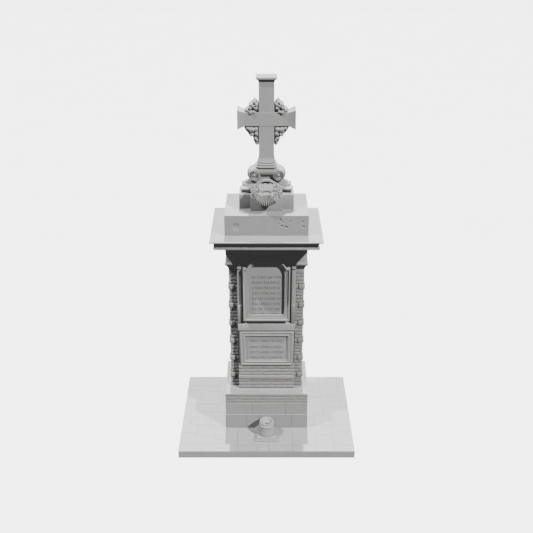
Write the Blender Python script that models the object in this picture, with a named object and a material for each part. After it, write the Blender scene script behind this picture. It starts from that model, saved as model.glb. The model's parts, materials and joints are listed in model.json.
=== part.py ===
"""War memorial in stone and brick: a paved platform, a plinth, a brick shaft with two
inscribed tablets a side, a cornice, a pedestal with a garland, and a cross on a volute capital.

Metres, +Z up. The origin is at the centre of the underside of the paving. The front faces -Y.
"""

import math

import bmesh
import bpy
from mathutils import Matrix, Vector

# Clearance between pieces that touch
GAP = 0.0003

# Paved platform
PLATFORM_WIDTH = 3.000
PLATFORM_DEPTH = 2.177
PLATFORM_HEIGHT = 0.142
PAVING_JOINT = 0.008
PAVING_JOINT_DEPTH = 0.006
# Rows of flags as shares of the platform's depth, front to back, and each row's flags
# as shares of its width, left to right
PAVING_ROWS = (0.099, 0.134, 0.088, 0.097, 0.073, 0.109, 0.105, 0.168, 0.126)
PAVING_FLAGS = (
    (0.120, 0.077, 0.137, 0.113, 0.067, 0.133, 0.137, 0.100),
    (0.090, 0.133, 0.110, 0.317, 0.133, 0.097),
    (0.093, 0.107, 0.173, 0.253, 0.257),
    (0.050, 0.117, 0.200, 0.293, 0.237),
    (0.050, 0.113, 0.207, 0.253, 0.167, 0.107),
    (0.193, 0.167, 0.233, 0.197, 0.100),
    (0.097, 0.127, 0.267, 0.187, 0.110, 0.163),
    (0.097, 0.103, 0.250, 0.267, 0.113),
    (0.193, 0.153, 0.240, 0.113, 0.167),
)

# The monument stands a little behind the centre of the platform
SETBACK = 0.055

# Plinth: two courses of ashlar, then thin brick courses, then a raised bed.
# The joints of a course are shares of the plinth's width, from its middle.
PLINTH_WIDTH = 1.440
PLINTH_DEPTH = 1.032
PLINTH_LOWER_HEIGHT = 0.289
PLINTH_UPPER_HEIGHT = 0.247
PLINTH_UPPER_SETBACK = 0.006
LOWER_COURSE_JOINTS = (-0.252, -0.086, 0.104, 0.301)
UPPER_COURSE_JOINTS = (-0.174, 0.229)
ASHLAR_JOINT = 0.001
ASHLAR_ARRIS = 0.006
PLINTH_BRICK_COURSES = 2
PLINTH_BED_HEIGHT = 0.067
PLINTH_BED_BORDER = 0.030
PLINTH_BED_FALL = 0.008

# Brickwork
COURSE_HEIGHT = 0.0633
MORTAR_JOINT = 0.013
MORTAR_DEPTH = 0.010

# Shaft: brick piers left and right of a central bay that runs from front to back
SHAFT_WIDTH = 1.232
PIER_DEPTH = 0.530
BAY_WIDTH = 0.950
BAY_DEPTH = 0.702
PIER_HEIGHT = 2.290
QUOIN_HEIGHT = 0.093
QUOIN_PROUD = 0.015
BRICKS_BETWEEN_QUOINS = 4
BRICKS_BELOW_FIRST_QUOIN = 3

# Foot of the bay: brick courses with one plain string course
BAY_COURSE_HEIGHT = 0.0657
BAY_FOOT_LOWER_COURSES = 3
STRING_HEIGHT = 0.074
STRING_PROUD = 0.014
BAY_FOOT_UPPER_COURSES = 3

# Lower die with its tablet
LOWER_DIE_MARGIN = 0.031
LOWER_DIE_INSET = 0.014
LOWER_FRAME_WIDTH = 0.880
LOWER_FRAME_HEIGHT = 0.660
LOWER_FRAME_MOULDING = 0.100
LOWER_FRAME_PROUD = 0.034
LOWER_TABLET_PROUD = 0.008

# Sections of the frames: shares of the moulding's width and of its outset
LOWER_FRAME_SECTION = (
    (0.0, 1.0), (0.20, 1.0), (0.28, 0.72), (0.50, 0.72), (0.56, 0.94),
    (0.72, 0.94), (0.78, 0.56), (1.0, 0.50),
)
UPPER_FRAME_SECTION = (
    (0.0, 1.0), (0.24, 1.0), (0.30, 0.84), (0.60, 0.84), (0.66, 0.81), (1.0, 0.81),
)

# Sill band
SILL_HEIGHT = 0.142
SILL_PROUD = 0.014
SILL_WEATHERING = 0.022

# Upper die with its arched tablet between slim pilaster strips
STRIP_WIDTH = 0.064
STRIP_RELIEF = 0.052
STRIP_PEDESTAL_HEIGHT = 0.350
STRIP_PEDESTAL_PROUD = 0.016
STRIP_CAPITAL_HEIGHT = 0.060
STRIP_HEAD_ROOM = 0.270
UPPER_FRAME_WIDTH = 0.760
UPPER_FRAME_FOOT = 0.068
UPPER_FRAME_MOULDING = 0.088
UPPER_FOOT_MOULDING = 0.100
UPPER_HEAD_MOULDING = 0.062
UPPER_HEAD_ROOM = 0.140
UPPER_HEAD_RADIUS = 0.229
UPPER_CROWN_RISE = 0.012
UPPER_SHOULDER_STEP = 0.051
UPPER_SHOULDER_DEG = 20.0
UPPER_SHOULDER_EASE = 0.060
UPPER_ARC_SEGMENTS = 8
UPPER_FRAME_PROUD = 0.060
UPPER_TABLET_PROUD = 0.053

# Capitals of the piers, which reach up to the frieze
CAPITAL_HEIGHT = 0.3822
CAPITAL_NECK = 0.080
ASTRAGAL_HEIGHT = 0.056
ASTRAGAL_PROUD = 0.054
CAPITAL_PROUD = 0.034
CAPITAL_NECK_SHARE = 0.3
CAPITAL_FILLET = 0.005
CAPITAL_SPREAD = 0.010
ASTRAGAL_SEGMENTS = 4

# Frieze and cornice
FRIEZE_HEIGHT = 0.145
FRIEZE_WIDTH = 1.310
FRIEZE_DEPTH = 0.730
BED_MOULD_HEIGHT = 0.110
MOULD_SEGMENTS = 6
CORNICE_WIDTH = 1.754
CORNICE_DEPTH = 1.420
CORNICE_HEIGHT = 0.152
CORNICE_BAND_HEIGHT = 0.040
CORNICE_BAND_INSET = 0.054
CORNICE_CAVETTO_INSET = 0.077
CORNICE_LIP = 0.020
CORNICE_WEATHERING = 0.012

# Attic block with its chipped front
ATTIC_WIDTH = 1.300
ATTIC_DEPTH = 0.952
ATTIC_HEIGHT = 0.334
ATTIC_ARRIS = 0.004

# Chips in the attic block's front: a ring of small pits, then single dents.
# Each dent is (x, z, radius, depth), x and z as shares of the block's width and height.
CHIP_RING = (0.188, 0.57)
CHIP_RING_RADIUS = 0.074
CHIP_RING_COUNT = 8
CHIP_RING_TURN = 0.3
CHIP_SIZES = ((0.024, 0.012), (0.030, 0.016), (0.036, 0.012))
CHIP_DENTS = (
    (0.415, 0.74, 0.026, 0.015),
    (0.421, 0.44, 0.030, 0.014),
    (-0.358, 0.47, 0.075, 0.018),
    (-0.208, 0.88, 0.018, 0.010),
)
CHIP_SQUASH = 0.8

# Pedestal: a die with projecting centres, under a hood that rises in the middle
PEDESTAL_WIDTH = 0.853
PEDESTAL_DEPTH = 0.368
CENTRE_WIDTH = 0.505
CENTRE_DEPTH = 0.574
PEDESTAL_DIE_HEIGHT = 0.228
PEDESTAL_LEDGE_HEIGHT = 0.026
PEDESTAL_LEDGE_INSET = 0.018
HOOD_NECK_HEIGHT = 0.049
HOOD_WIDTH = 0.784
HOOD_DEPTH = 0.360
HOOD_RELIEF = 0.030
HOOD_MOULDING = 0.030
HOOD_FLAT_WIDTH = 0.076
HOOD_RISE = 0.146
GABLE_THICKNESS = 0.020
HOOD_CORNER = 0.002
HOOD_SEGMENTS = 16
HOOD_STEPS = 2
HOOD_STEP_WIDTH = 0.740
HOOD_STEP_DEPTH = 0.180
HOOD_STEP_INSET = 0.036
HOOD_STEP_RISE = 0.037
HOOD_STEP_RADIUS = 0.070

# Garland on the front of the pedestal
GARLAND_WIDTH = 0.476
GARLAND_LENGTH = 0.378
GARLAND_OPENING_WIDTH = 0.110
GARLAND_OPENING_LENGTH = 0.062
GARLAND_THICKNESS = 0.096
GARLAND_SLOPE_DEG = 36.0
GARLAND_TURNS = 20
GARLAND_FAN_LEAVES = 7
GARLAND_LEAF_LENGTH = 0.105
GARLAND_LEAF_WIDTH = 0.046
GARLAND_LEAF_THICKNESS = 0.026
GARLAND_ROSETTE_RADIUS = 0.062
GARLAND_CONSOLE_WIDTH = 0.260
GARLAND_DROP = 0.020
GARLAND_TAPER_TOP = 0.10
GARLAND_TAPER_FOOT = 0.18
GARLAND_OPENING_TAPER = 0.35
GARLAND_FULLNESS = 0.8
GARLAND_SECTION = (
    (0.0, -0.30), (0.15, -0.50), (0.80, -0.50), (1.0, -0.15),
    (0.93, 0.20), (0.66, 0.50), (0.32, 0.46), (0.05, 0.15),
)
GARLAND_FAN_DEG = 130.0
GARLAND_LEAF_LEAN_DEG = 18.0
GARLAND_LEAF_LIFT = 0.40
GARLAND_ROSETTE_DEG = 8.0
GARLAND_ROSETTE_SHARE = 0.70
GARLAND_ROSETTE_SIDES = 8
GARLAND_ROSETTE_PROFILE = ((0.0, -0.6), (1.0, 0.0), (0.7, 0.36), (0.0, 0.48))
GARLAND_CONSOLE_FOOT = 0.006

# A carved leaf: shares of its length and width
LEAF_OUTLINE = ((0.0, 0.18), (0.30, 0.50), (0.62, 0.42), (0.84, 0.20))
LEAF_CREST = 0.42

# Volute capital
VOLUTE_SPACING = 0.376
VOLUTE_RADIUS = 0.084
VOLUTE_BOLSTER_RADIUS = 0.112
VOLUTE_DEPTH = 0.280
VOLUTE_HEIGHT = 0.239
VOLUTE_CHANNEL_RECESS = 0.045
VOLUTE_BAND_HEIGHT = 0.070
VOLUTE_BAND_ROUND = 0.012
VOLUTE_BAND_SETBACK = 0.004
VOLUTE_EYE_RAISE = 0.003
VOLUTE_NECK = 0.022
VOLUTE_GROOVE = 0.014
VOLUTE_BOSS = 0.006

# Face of a volute: shares of its radius and of the groove's depth
VOLUTE_FACE = ((1.0, 0.0), (0.74, 0.0), (0.68, -1.0), (0.46, -1.0), (0.40, 0.0))
VOLUTE_SHANK = ((0.86, 0.62), (1.0, 0.25))
VOLUTE_SIDES = 16

# Cross
CROSS_SHAFT_WIDTH = 0.232
CROSS_SHAFT_DEPTH = 0.196
CROSS_HEIGHT = 1.385
CROSS_HEAD_WIDTH = 0.312
CROSS_HEAD_DEPTH = 0.286
CROSS_HEAD_FLARE = 0.055
CROSS_HEAD_THICKNESS = 0.036
CROSS_HEAD_EDGE = ((0.0, 0.55), (0.006, 0.85), (0.020, 1.0))
CROSS_FLARE_SEGMENTS = 5
CROSS_SPAN = 0.878
CROSS_ARM_HEIGHT = 0.206
CROSS_ARM_PROUD = 0.003
CROSS_ARM_FLARE = 0.125
CROSS_ARM_TIP = 0.010
CROSS_ARM_CURVE = 1.2
CROSS_ARM_TIP_HEIGHT = 0.288
CROSS_ARM_CENTRE = 0.753
CROSS_FOOT_STEPS = 3
CROSS_FOOT_STEP_HEIGHT = 0.032
CROSS_FOOT_STEP_OUT = 0.016
CROSS_FOOT_NOSING = 0.006
CROSS_FOOT_CORNER = 0.060
CROSS_FOOT_FLARE_HEIGHT = 0.075
CROSS_FOOT_FLARE_OUT = 0.012
FOLIAGE_REACH = 0.205
FOLIAGE_RISE = 0.215
FOLIAGE_DROP = 0.300
FOLIAGE_THICKNESS = 0.180
FOLIAGE_CURL = 0.050
FOLIAGE_CURL_SPOT = 0.52
FOLIAGE_ROOT = 0.05
FOLIAGE_UPPER_LOBES = (
    (0.95, -0.05), (1.0, 0.14), (0.74, 0.40), (0.76, 0.58), (0.54, 0.70),
    (0.40, 0.94), (0.26, 1.0), (0.10, 0.88),
)
FOLIAGE_LOWER_LOBES = (
    (1.0, -0.04), (0.98, 0.10), (0.72, 0.28), (0.68, 0.42), (0.44, 0.54),
    (0.38, 0.68), (0.20, 0.82), (0.14, 1.0),
)
FOLIAGE_SECTION = ((-0.5, 0.72), (-0.32, 0.94), (0.0, 1.0), (0.32, 0.94), (0.5, 0.72))

# Vase on two square plates, in front of the plinth
LOWER_PLATE_WIDTH = 0.394
LOWER_PLATE_DEPTH = 0.376
LOWER_PLATE_HEIGHT = 0.022
UPPER_PLATE_WIDTH = 0.345
UPPER_PLATE_DEPTH = 0.340
UPPER_PLATE_HEIGHT = 0.020
VASE_HEIGHT = 0.246
VASE_FOOT_RADIUS = 0.149
VASE_SHOULDER_RADIUS = 0.130
VASE_SHOULDER_HEIGHT = 0.190
VASE_NECK_RADIUS = 0.108
VASE_RIM_RADIUS = 0.118
VASE_RIM_HEIGHT = 0.028
VASE_BORE_RADIUS = 0.092
VASE_BORE_DEPTH = 0.110
VASE_SOCKET_RADIUS = 0.034
VASE_SOCKET_DEPTH = 0.190
VASE_SIDES = 24
VASE_ARRIS = 0.007
VASE_BORE_TAPER = 0.72
VASE_CREASE_DEG = 35.0
PLATE_ARRIS = 0.003

# Levels, each worked out from the pieces below it
PLINTH_Z = PLATFORM_HEIGHT
PLINTH_UPPER_Z = PLINTH_Z + PLINTH_LOWER_HEIGHT
PLINTH_BRICK_Z = PLINTH_UPPER_Z + PLINTH_UPPER_HEIGHT
PLINTH_BED_Z = PLINTH_BRICK_Z + PLINTH_BRICK_COURSES * COURSE_HEIGHT
SHAFT_Z = PLINTH_BED_Z + PLINTH_BED_HEIGHT
BAY_FOOT_COURSES = BAY_FOOT_LOWER_COURSES + BAY_FOOT_UPPER_COURSES
LOWER_DIE_Z = SHAFT_Z + BAY_FOOT_COURSES * BAY_COURSE_HEIGHT + STRING_HEIGHT
LOWER_DIE_HEIGHT = LOWER_FRAME_HEIGHT + 2 * LOWER_DIE_MARGIN
SILL_Z = LOWER_DIE_Z + LOWER_DIE_HEIGHT
UPPER_DIE_Z = SILL_Z + SILL_HEIGHT
CAPITAL_Z = SHAFT_Z + PIER_HEIGHT
FRIEZE_Z = CAPITAL_Z + CAPITAL_HEIGHT
UPPER_DIE_HEIGHT = FRIEZE_Z - UPPER_DIE_Z
CORNICE_Z = FRIEZE_Z + FRIEZE_HEIGHT
ATTIC_Z = CORNICE_Z + CORNICE_HEIGHT + CORNICE_WEATHERING
PEDESTAL_Z = ATTIC_Z + ATTIC_HEIGHT
HOOD_Z = PEDESTAL_Z + PEDESTAL_DIE_HEIGHT + PEDESTAL_LEDGE_HEIGHT
HOOD_FLAT_Z = HOOD_Z + HOOD_NECK_HEIGHT + HOOD_MOULDING
VOLUTE_Z = HOOD_FLAT_Z + HOOD_STEPS * HOOD_STEP_RISE
CROSS_Z = VOLUTE_Z + VOLUTE_HEIGHT

PLINTH_FRONT = SETBACK - PLINTH_DEPTH / 2


def clear_scene():
    """Start from an empty scene."""
    for obj in list(bpy.data.objects):
        bpy.data.objects.remove(obj, do_unlink=True)


def stone(name, grey, roughness):
    """Plain stone or brick in a pale neutral grey."""
    material = bpy.data.materials.new(name)
    material.use_nodes = True
    shader = material.node_tree.nodes["Principled BSDF"]
    shader.inputs["Base Color"].default_value = (grey, grey, grey * 0.985, 1.0)
    shader.inputs["Roughness"].default_value = roughness
    shader.inputs["Metallic"].default_value = 0.0
    return material


def finish(name, bm, material, operand=False):
    """Turn a bmesh into a named object; an operand of a Boolean is hidden."""
    bmesh.ops.recalc_face_normals(bm, faces=bm.faces)
    mesh = bpy.data.meshes.new(name)
    bm.to_mesh(mesh)
    bm.free()
    mesh.materials.append(material)
    obj = bpy.data.objects.new(name, mesh)
    bpy.context.collection.objects.link(obj)
    if operand:
        obj.hide_render = True
        obj.display_type = "WIRE"
    return obj


def combine(target, tool, operation, overlapping=False):
    """Join a hidden operand to a piece, or cut it away; its own bodies may overlap."""
    modifier = target.modifiers.new(operation.title() + "." + tool.name, "BOOLEAN")
    modifier.operation = operation
    modifier.solver = "EXACT"
    modifier.object = tool
    modifier.use_self = overlapping
    return target


def loft(bm, rings):
    """Skin rings of equally many points, bottom to top, and cap both ends."""
    rows = [[bm.verts.new(point) for point in ring] for ring in rings]
    for low, high in zip(rows, rows[1:]):
        for i in range(len(low)):
            j = (i + 1) % len(low)
            bm.faces.new((low[i], low[j], high[j], high[i]))
    bm.faces.new(rows[0])
    bm.faces.new(rows[-1])


def closed_loft(bm, rings):
    """Skin rings whose last one joins the first, as round a picture frame."""
    rows = [[bm.verts.new(point) for point in ring] for ring in rings]
    for low, high in zip(rows, rows[1:] + rows[:1]):
        for i in range(len(low)):
            j = (i + 1) % len(low)
            bm.faces.new((low[i], low[j], high[j], high[i]))


def rectangle(half_x, half_y, z, centre=(0.0, SETBACK)):
    """A rectangle at height z about the centre of the monument."""
    x, y = centre
    return [
        (x - half_x, y - half_y, z),
        (x + half_x, y - half_y, z),
        (x + half_x, y + half_y, z),
        (x - half_x, y + half_y, z),
    ]


def rounded_rectangle(half_x, half_y, radius, z, corner_points=4):
    """A rectangle with round corners at height z about the centre of the monument."""
    ring = []
    for quarter, (sx, sy) in enumerate(((-1, -1), (1, -1), (1, 1), (-1, 1))):
        for k in range(corner_points):
            angle = math.pi * (1 + quarter / 2 + k / (2 * (corner_points - 1)))
            x = sx * (half_x - radius) + radius * math.cos(angle)
            y = sy * (half_y - radius) + radius * math.sin(angle)
            ring.append((x, SETBACK + y, z))
    return ring


def block(name, low, high, material, arris=0.0):
    """A squared block between two corners, its edges taken off by the arris."""
    bm = bmesh.new()
    size = Vector(high) - Vector(low)
    middle = (Vector(high) + Vector(low)) / 2
    matrix = Matrix.Translation(middle) @ Matrix.Diagonal((*size, 1.0))
    bmesh.ops.create_cube(bm, size=1.0, matrix=matrix)
    if arris > 0:
        bmesh.ops.bevel(bm, geom=bm.edges[:], offset=arris, segments=1, affect="EDGES")
    return finish(name, bm, material)


def prism(bm, outline, y0, y1):
    """Extrude an outline in the XZ plane from y0 to y1."""
    loft(bm, [[(x, y0, z) for x, z in outline], [(x, y1, z) for x, z in outline]])


def turned(bm, profile, sides, matrix=Matrix.Identity(4)):
    """Turn a profile of (radius, height) about Z; zero radius closes an end."""
    rows = []
    for radius, height in profile:
        if radius == 0:
            rows.append([bm.verts.new(matrix @ Vector((0, 0, height)))])
            continue
        ring = []
        for k in range(sides):
            angle = 2 * math.pi * k / sides
            point = Vector((radius * math.cos(angle), radius * math.sin(angle), height))
            ring.append(bm.verts.new(matrix @ point))
        rows.append(ring)
    for low, high in zip(rows, rows[1:]):
        for k in range(sides):
            n = (k + 1) % sides
            if len(low) == 1:
                bm.faces.new((low[0], high[n], high[k]))
            elif len(high) == 1:
                bm.faces.new((low[k], low[n], high[0]))
            else:
                bm.faces.new((low[k], low[n], high[n], high[k]))


def course(z, height, proud=0.0):
    """Levels of one course over its weathered joint: (height, outset) pairs."""
    foot = z + MORTAR_JOINT
    return [(foot, -MORTAR_DEPTH), (foot, proud), (z + height, proud)]


def paving(material):
    """The platform: a bed with flags of uneven widths, parted by sunk joints."""
    half_x = PLATFORM_WIDTH / 2
    half_y = PLATFORM_DEPTH / 2
    bed_top = PLATFORM_HEIGHT - PAVING_JOINT_DEPTH
    bm = bmesh.new()
    loft(bm, [rectangle(half_x, half_y, z, (0.0, 0.0)) for z in (0.0, bed_top)])
    platform = finish("paving_platform", bm, material)
    flags = bmesh.new()
    y = -half_y
    row = 0
    while y < half_y - 2 * PAVING_JOINT:
        depth = min(PAVING_ROWS[row % len(PAVING_ROWS)] * PLATFORM_DEPTH, half_y - y)
        if half_y - (y + depth) < 4 * PAVING_JOINT:
            depth = half_y - y
        widths = PAVING_FLAGS[row % len(PAVING_FLAGS)]
        x = -half_x
        flag = 0
        while x < half_x - 2 * PAVING_JOINT:
            width = min(widths[flag % len(widths)] * PLATFORM_WIDTH, half_x - x)
            if half_x - (x + width) < 4 * PAVING_JOINT:
                width = half_x - x
            centre = (x + width / 2, y + depth / 2)
            size_x = width / 2 - PAVING_JOINT / 2
            size_y = depth / 2 - PAVING_JOINT / 2
            low = bed_top - PAVING_JOINT_DEPTH
            top = PLATFORM_HEIGHT
            loft(flags, [rectangle(size_x, size_y, z, centre) for z in (low, top)])
            x += width
            flag += 1
        y += depth
        row += 1
    return combine(platform, finish("paving_flags", flags, material, operand=True), "UNION")


def ashlar_course(prefix, z, height, setback, joints, material):
    """One course of ashlar: stones that meet on the centre line, front and back."""
    half_x = PLINTH_WIDTH / 2 - setback
    half_y = PLINTH_DEPTH / 2 - setback
    edges = [-half_x, *(share * PLINTH_WIDTH for share in joints), half_x]
    for side, sign in (("front", -1), ("back", 1)):
        for i, (left, right) in enumerate(zip(edges, edges[1:])):
            x0 = left + (ASHLAR_JOINT / 2 if i > 0 else 0.0)
            x1 = right - (ASHLAR_JOINT / 2 if i < len(joints) else 0.0)
            near = SETBACK + sign * ASHLAR_JOINT / 2
            far = SETBACK + sign * half_y
            low = (x0, min(near, far), z + GAP)
            high = (x1, max(near, far), z + height)
            block(f"{prefix}_{side}_{i + 1}", low, high, material, ASHLAR_ARRIS)


def plinth_top(brick, mortar):
    """Thin brick courses over the ashlar and the weathered bed that carries the shaft."""
    half_x = PLINTH_WIDTH / 2 - PLINTH_UPPER_SETBACK
    half_y = PLINTH_DEPTH / 2 - PLINTH_UPPER_SETBACK
    levels = [(PLINTH_BRICK_Z + GAP, -MORTAR_DEPTH)]
    for i in range(PLINTH_BRICK_COURSES):
        levels += course(PLINTH_BRICK_Z + GAP + i * COURSE_HEIGHT, COURSE_HEIGHT - GAP)
    bm = bmesh.new()
    loft(bm, [rectangle(half_x + out, half_y + out, z) for z, out in levels])
    finish("plinth_brick_courses", bm, brick)
    bed = bmesh.new()
    border = PLINTH_BED_BORDER
    rise = PLINTH_BED_HEIGHT - PLINTH_BED_FALL
    profile = (
        (MORTAR_DEPTH, GAP),
        (MORTAR_DEPTH, MORTAR_JOINT),
        (0.0, MORTAR_JOINT),
        (0.0, PLINTH_BED_HEIGHT - ASHLAR_ARRIS),
        (ASHLAR_ARRIS, PLINTH_BED_HEIGHT),
        (border, PLINTH_BED_HEIGHT),
        (border + PLINTH_BED_FALL, rise),
    )
    shaft_inset = (PLINTH_WIDTH - SHAFT_WIDTH) / 2 - 2 * PLINTH_BED_FALL
    profile += ((shaft_inset, rise), (shaft_inset, PLINTH_BED_HEIGHT))
    rings = [rectangle(half_x - inset, half_y - inset, PLINTH_BED_Z + z) for inset, z in profile]
    loft(bed, rings)
    finish("plinth_bed", bed, mortar)


def pier_levels(height):
    """Brick courses broken by taller, prouder quoin courses, up to the capital."""
    levels = [(GAP, -MORTAR_DEPTH)]
    z = GAP
    bricks = BRICKS_BELOW_FIRST_QUOIN
    while z < height - COURSE_HEIGHT / 2:
        if bricks > 0:
            step, proud = COURSE_HEIGHT, 0.0
            bricks -= 1
        else:
            step, proud = QUOIN_HEIGHT, QUOIN_PROUD
            bricks = BRICKS_BETWEEN_QUOINS
        step = min(step, height - z)
        if height - (z + step) < COURSE_HEIGHT / 2:
            step = height - z
        levels += course(z, step, proud)
        z += step
    return levels


def pier_ring(sign, out, z):
    """Plan of a pier: it grows on three sides, and stays flush with the bay."""
    inner = BAY_WIDTH / 2 + GAP
    outer = SHAFT_WIDTH / 2 + out
    half_y = PIER_DEPTH / 2 + out
    middle = sign * (inner + outer) / 2
    return rectangle((outer - inner) / 2, half_y, z, (middle, SETBACK))


def piers(brick, material):
    """The two piers and their capitals."""
    for name, sign in (("left", -1), ("right", 1)):
        bm = bmesh.new()
        loft(bm, [pier_ring(sign, out, SHAFT_Z + z) for z, out in pier_levels(PIER_HEIGHT)])
        finish(f"pier_{name}", bm, brick)
        profile = [(GAP, 0.0), (CAPITAL_NECK / 2, CAPITAL_PROUD * CAPITAL_NECK_SHARE)]
        for k in range(ASTRAGAL_SEGMENTS + 1):
            angle = math.pi * k / ASTRAGAL_SEGMENTS
            out = CAPITAL_PROUD + (ASTRAGAL_PROUD - CAPITAL_PROUD) * math.sin(angle)
            profile.append((CAPITAL_NECK + ASTRAGAL_HEIGHT * (1 - math.cos(angle)) / 2, out))
        fillet_z = CAPITAL_NECK + ASTRAGAL_HEIGHT + CAPITAL_FILLET
        profile.append((fillet_z, CAPITAL_PROUD - CAPITAL_FILLET))
        profile.append((CAPITAL_HEIGHT - GAP, CAPITAL_PROUD + CAPITAL_SPREAD))
        cap = bmesh.new()
        loft(cap, [pier_ring(sign, out, CAPITAL_Z + z) for z, out in profile])
        finish(f"pier_capital_{name}", cap, material)


def bay_foot(brick):
    """Courses at the foot of the bay, with a plain string course between them."""
    half_x = BAY_WIDTH / 2
    half_y = BAY_DEPTH / 2
    levels = [(SHAFT_Z + GAP, -MORTAR_DEPTH)]
    z = SHAFT_Z
    for _ in range(BAY_FOOT_LOWER_COURSES):
        levels += course(z, BAY_COURSE_HEIGHT)
        z += BAY_COURSE_HEIGHT
    levels += course(z, STRING_HEIGHT, STRING_PROUD)
    z += STRING_HEIGHT
    for _ in range(BAY_FOOT_UPPER_COURSES):
        levels += course(z, BAY_COURSE_HEIGHT)
        z += BAY_COURSE_HEIGHT
    bm = bmesh.new()
    loft(bm, [rectangle(half_x + min(out, 0.0), half_y + out, z) for z, out in levels])
    finish("bay_foot", bm, brick)


def moulded_frame(name, outline, profile, plane, sign, material):
    """A frame whose section is (inset, proud) pairs, from its outer to its inner edge."""
    rings = []
    for inset, proud in profile:
        y = plane + sign * proud
        rings.append([(x, y, z) for x, z in outline(inset)])
    bm = bmesh.new()
    closed_loft(bm, rings)
    finish(name, bm, material)


def frame_section(shares, width, proud):
    """A stepped section in metres, from the outer to the inner edge."""
    steps = [(width * inset, proud * outset) for inset, outset in shares]
    return [(0.0, GAP), *steps, (width, GAP)]


def lower_outline(inset):
    """The lower frame, inset from its outer edge."""
    half = LOWER_FRAME_WIDTH / 2 - inset
    foot = LOWER_DIE_Z + LOWER_DIE_MARGIN + inset
    top = SILL_Z - LOWER_DIE_MARGIN - inset
    return [(-half, foot), (half, foot), (half, top), (-half, top)]


def upper_outline(inset, clearance=0.0):
    """The upper frame: straight jambs, small shoulders and a head with round corners."""
    share = inset / UPPER_FRAME_MOULDING
    half = UPPER_FRAME_WIDTH / 2 - inset - clearance
    foot = UPPER_DIE_Z + UPPER_FRAME_FOOT + UPPER_FOOT_MOULDING * share + clearance
    head_top = FRIEZE_Z - UPPER_HEAD_ROOM - UPPER_CROWN_RISE - UPPER_HEAD_MOULDING * share
    head_half = half - UPPER_SHOULDER_STEP * (1 - share)
    radius = UPPER_HEAD_RADIUS - UPPER_HEAD_MOULDING / 2 * share - clearance
    radius = min(radius, head_half)
    springing = head_top - clearance - radius
    start = math.radians(UPPER_SHOULDER_DEG) * (1 - share)
    head = []
    for k in range(UPPER_ARC_SEGMENTS + 1):
        angle = start + (math.pi / 2 - start) * k / UPPER_ARC_SEGMENTS
        x = head_half - radius + radius * math.cos(angle)
        head.append((x, springing + radius * math.sin(angle)))
    corner = (half, head[0][1] - UPPER_SHOULDER_EASE * share ** 4)
    right = [(half, foot), corner, *head, (0.0, springing + radius + UPPER_CROWN_RISE)]
    return right + [(-x, z) for x, z in right[-2::-1]]


def lower_stage(material, marble):
    """The lower die, its frames and tablets, and the sill band above them."""
    half_x = BAY_WIDTH / 2 - LOWER_DIE_INSET
    half_y = BAY_DEPTH / 2 - LOWER_DIE_INSET
    low = (-half_x, SETBACK - half_y, LOWER_DIE_Z + GAP)
    block("lower_die", low, (half_x, SETBACK + half_y, SILL_Z), material)
    half_w = LOWER_FRAME_WIDTH / 2 - LOWER_FRAME_MOULDING - GAP
    foot = lower_outline(LOWER_FRAME_MOULDING)[0][1] + GAP
    top = lower_outline(LOWER_FRAME_MOULDING)[2][1] - GAP
    section = frame_section(LOWER_FRAME_SECTION, LOWER_FRAME_MOULDING, LOWER_FRAME_PROUD)
    for name, sign in (("front", -1), ("back", 1)):
        plane = SETBACK + sign * half_y
        moulded_frame(f"lower_frame_{name}", lower_outline, section, plane, sign, material)
        near = plane + sign * GAP
        far = plane + sign * LOWER_TABLET_PROUD
        low = (-half_w, min(near, far), foot)
        block(f"lower_tablet_{name}", low, (half_w, max(near, far), top), marble)
    sill_x = BAY_WIDTH / 2
    sill_y = BAY_DEPTH / 2 + SILL_PROUD
    shoulder = SILL_HEIGHT - SILL_WEATHERING
    bm = bmesh.new()
    rings = [rectangle(sill_x, sill_y, SILL_Z + z) for z in (GAP, shoulder)]
    rings.append(rectangle(sill_x, sill_y - SILL_WEATHERING, SILL_Z + SILL_HEIGHT))
    loft(bm, rings)
    finish("sill_band", bm, material)


def upper_die_plan(strip_proud, z):
    """Plan of the upper die: strips at its corners, a sunk field front and back."""
    half_x = BAY_WIDTH / 2
    half_y = BAY_DEPTH / 2
    inner = half_x - STRIP_WIDTH
    sunk = half_y - STRIP_RELIEF
    proud = half_y + strip_proud
    plan = [
        (-half_x, -proud), (-inner, -proud), (-inner, -sunk), (inner, -sunk),
        (inner, -proud), (half_x, -proud), (half_x, proud), (inner, proud),
        (inner, sunk), (-inner, sunk), (-inner, proud), (-half_x, proud),
    ]
    return [(x, SETBACK + y, z) for x, y in plan]


def upper_stage(material, marble):
    """The upper die with its pilaster strips, arched frames and tablets."""
    cap_top = UPPER_DIE_HEIGHT - STRIP_HEAD_ROOM
    cap_foot = cap_top - STRIP_CAPITAL_HEIGHT
    proud = STRIP_PEDESTAL_PROUD
    levels = (
        (GAP, proud),
        (STRIP_PEDESTAL_HEIGHT - proud, proud),
        (STRIP_PEDESTAL_HEIGHT, 0.0),
        (cap_foot - proud, 0.0),
        (cap_foot, proud),
        (cap_top - proud, proud),
        (cap_top, 0.0),
        (UPPER_DIE_HEIGHT - GAP, 0.0),
    )
    bm = bmesh.new()
    loft(bm, [upper_die_plan(out, UPPER_DIE_Z + z) for z, out in levels])
    finish("upper_die", bm, material)
    jamb = UPPER_FRAME_MOULDING
    section = frame_section(UPPER_FRAME_SECTION, jamb, UPPER_FRAME_PROUD + STRIP_RELIEF)
    for name, sign in (("front", -1), ("back", 1)):
        plane = SETBACK + sign * (BAY_DEPTH / 2 - STRIP_RELIEF)
        moulded_frame(f"upper_frame_{name}", upper_outline, section, plane, sign, material)
        bm = bmesh.new()
        near = plane + sign * GAP
        prism(bm, upper_outline(jamb, GAP), near, plane + sign * UPPER_TABLET_PROUD)
        finish(f"upper_tablet_{name}", bm, marble)


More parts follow.
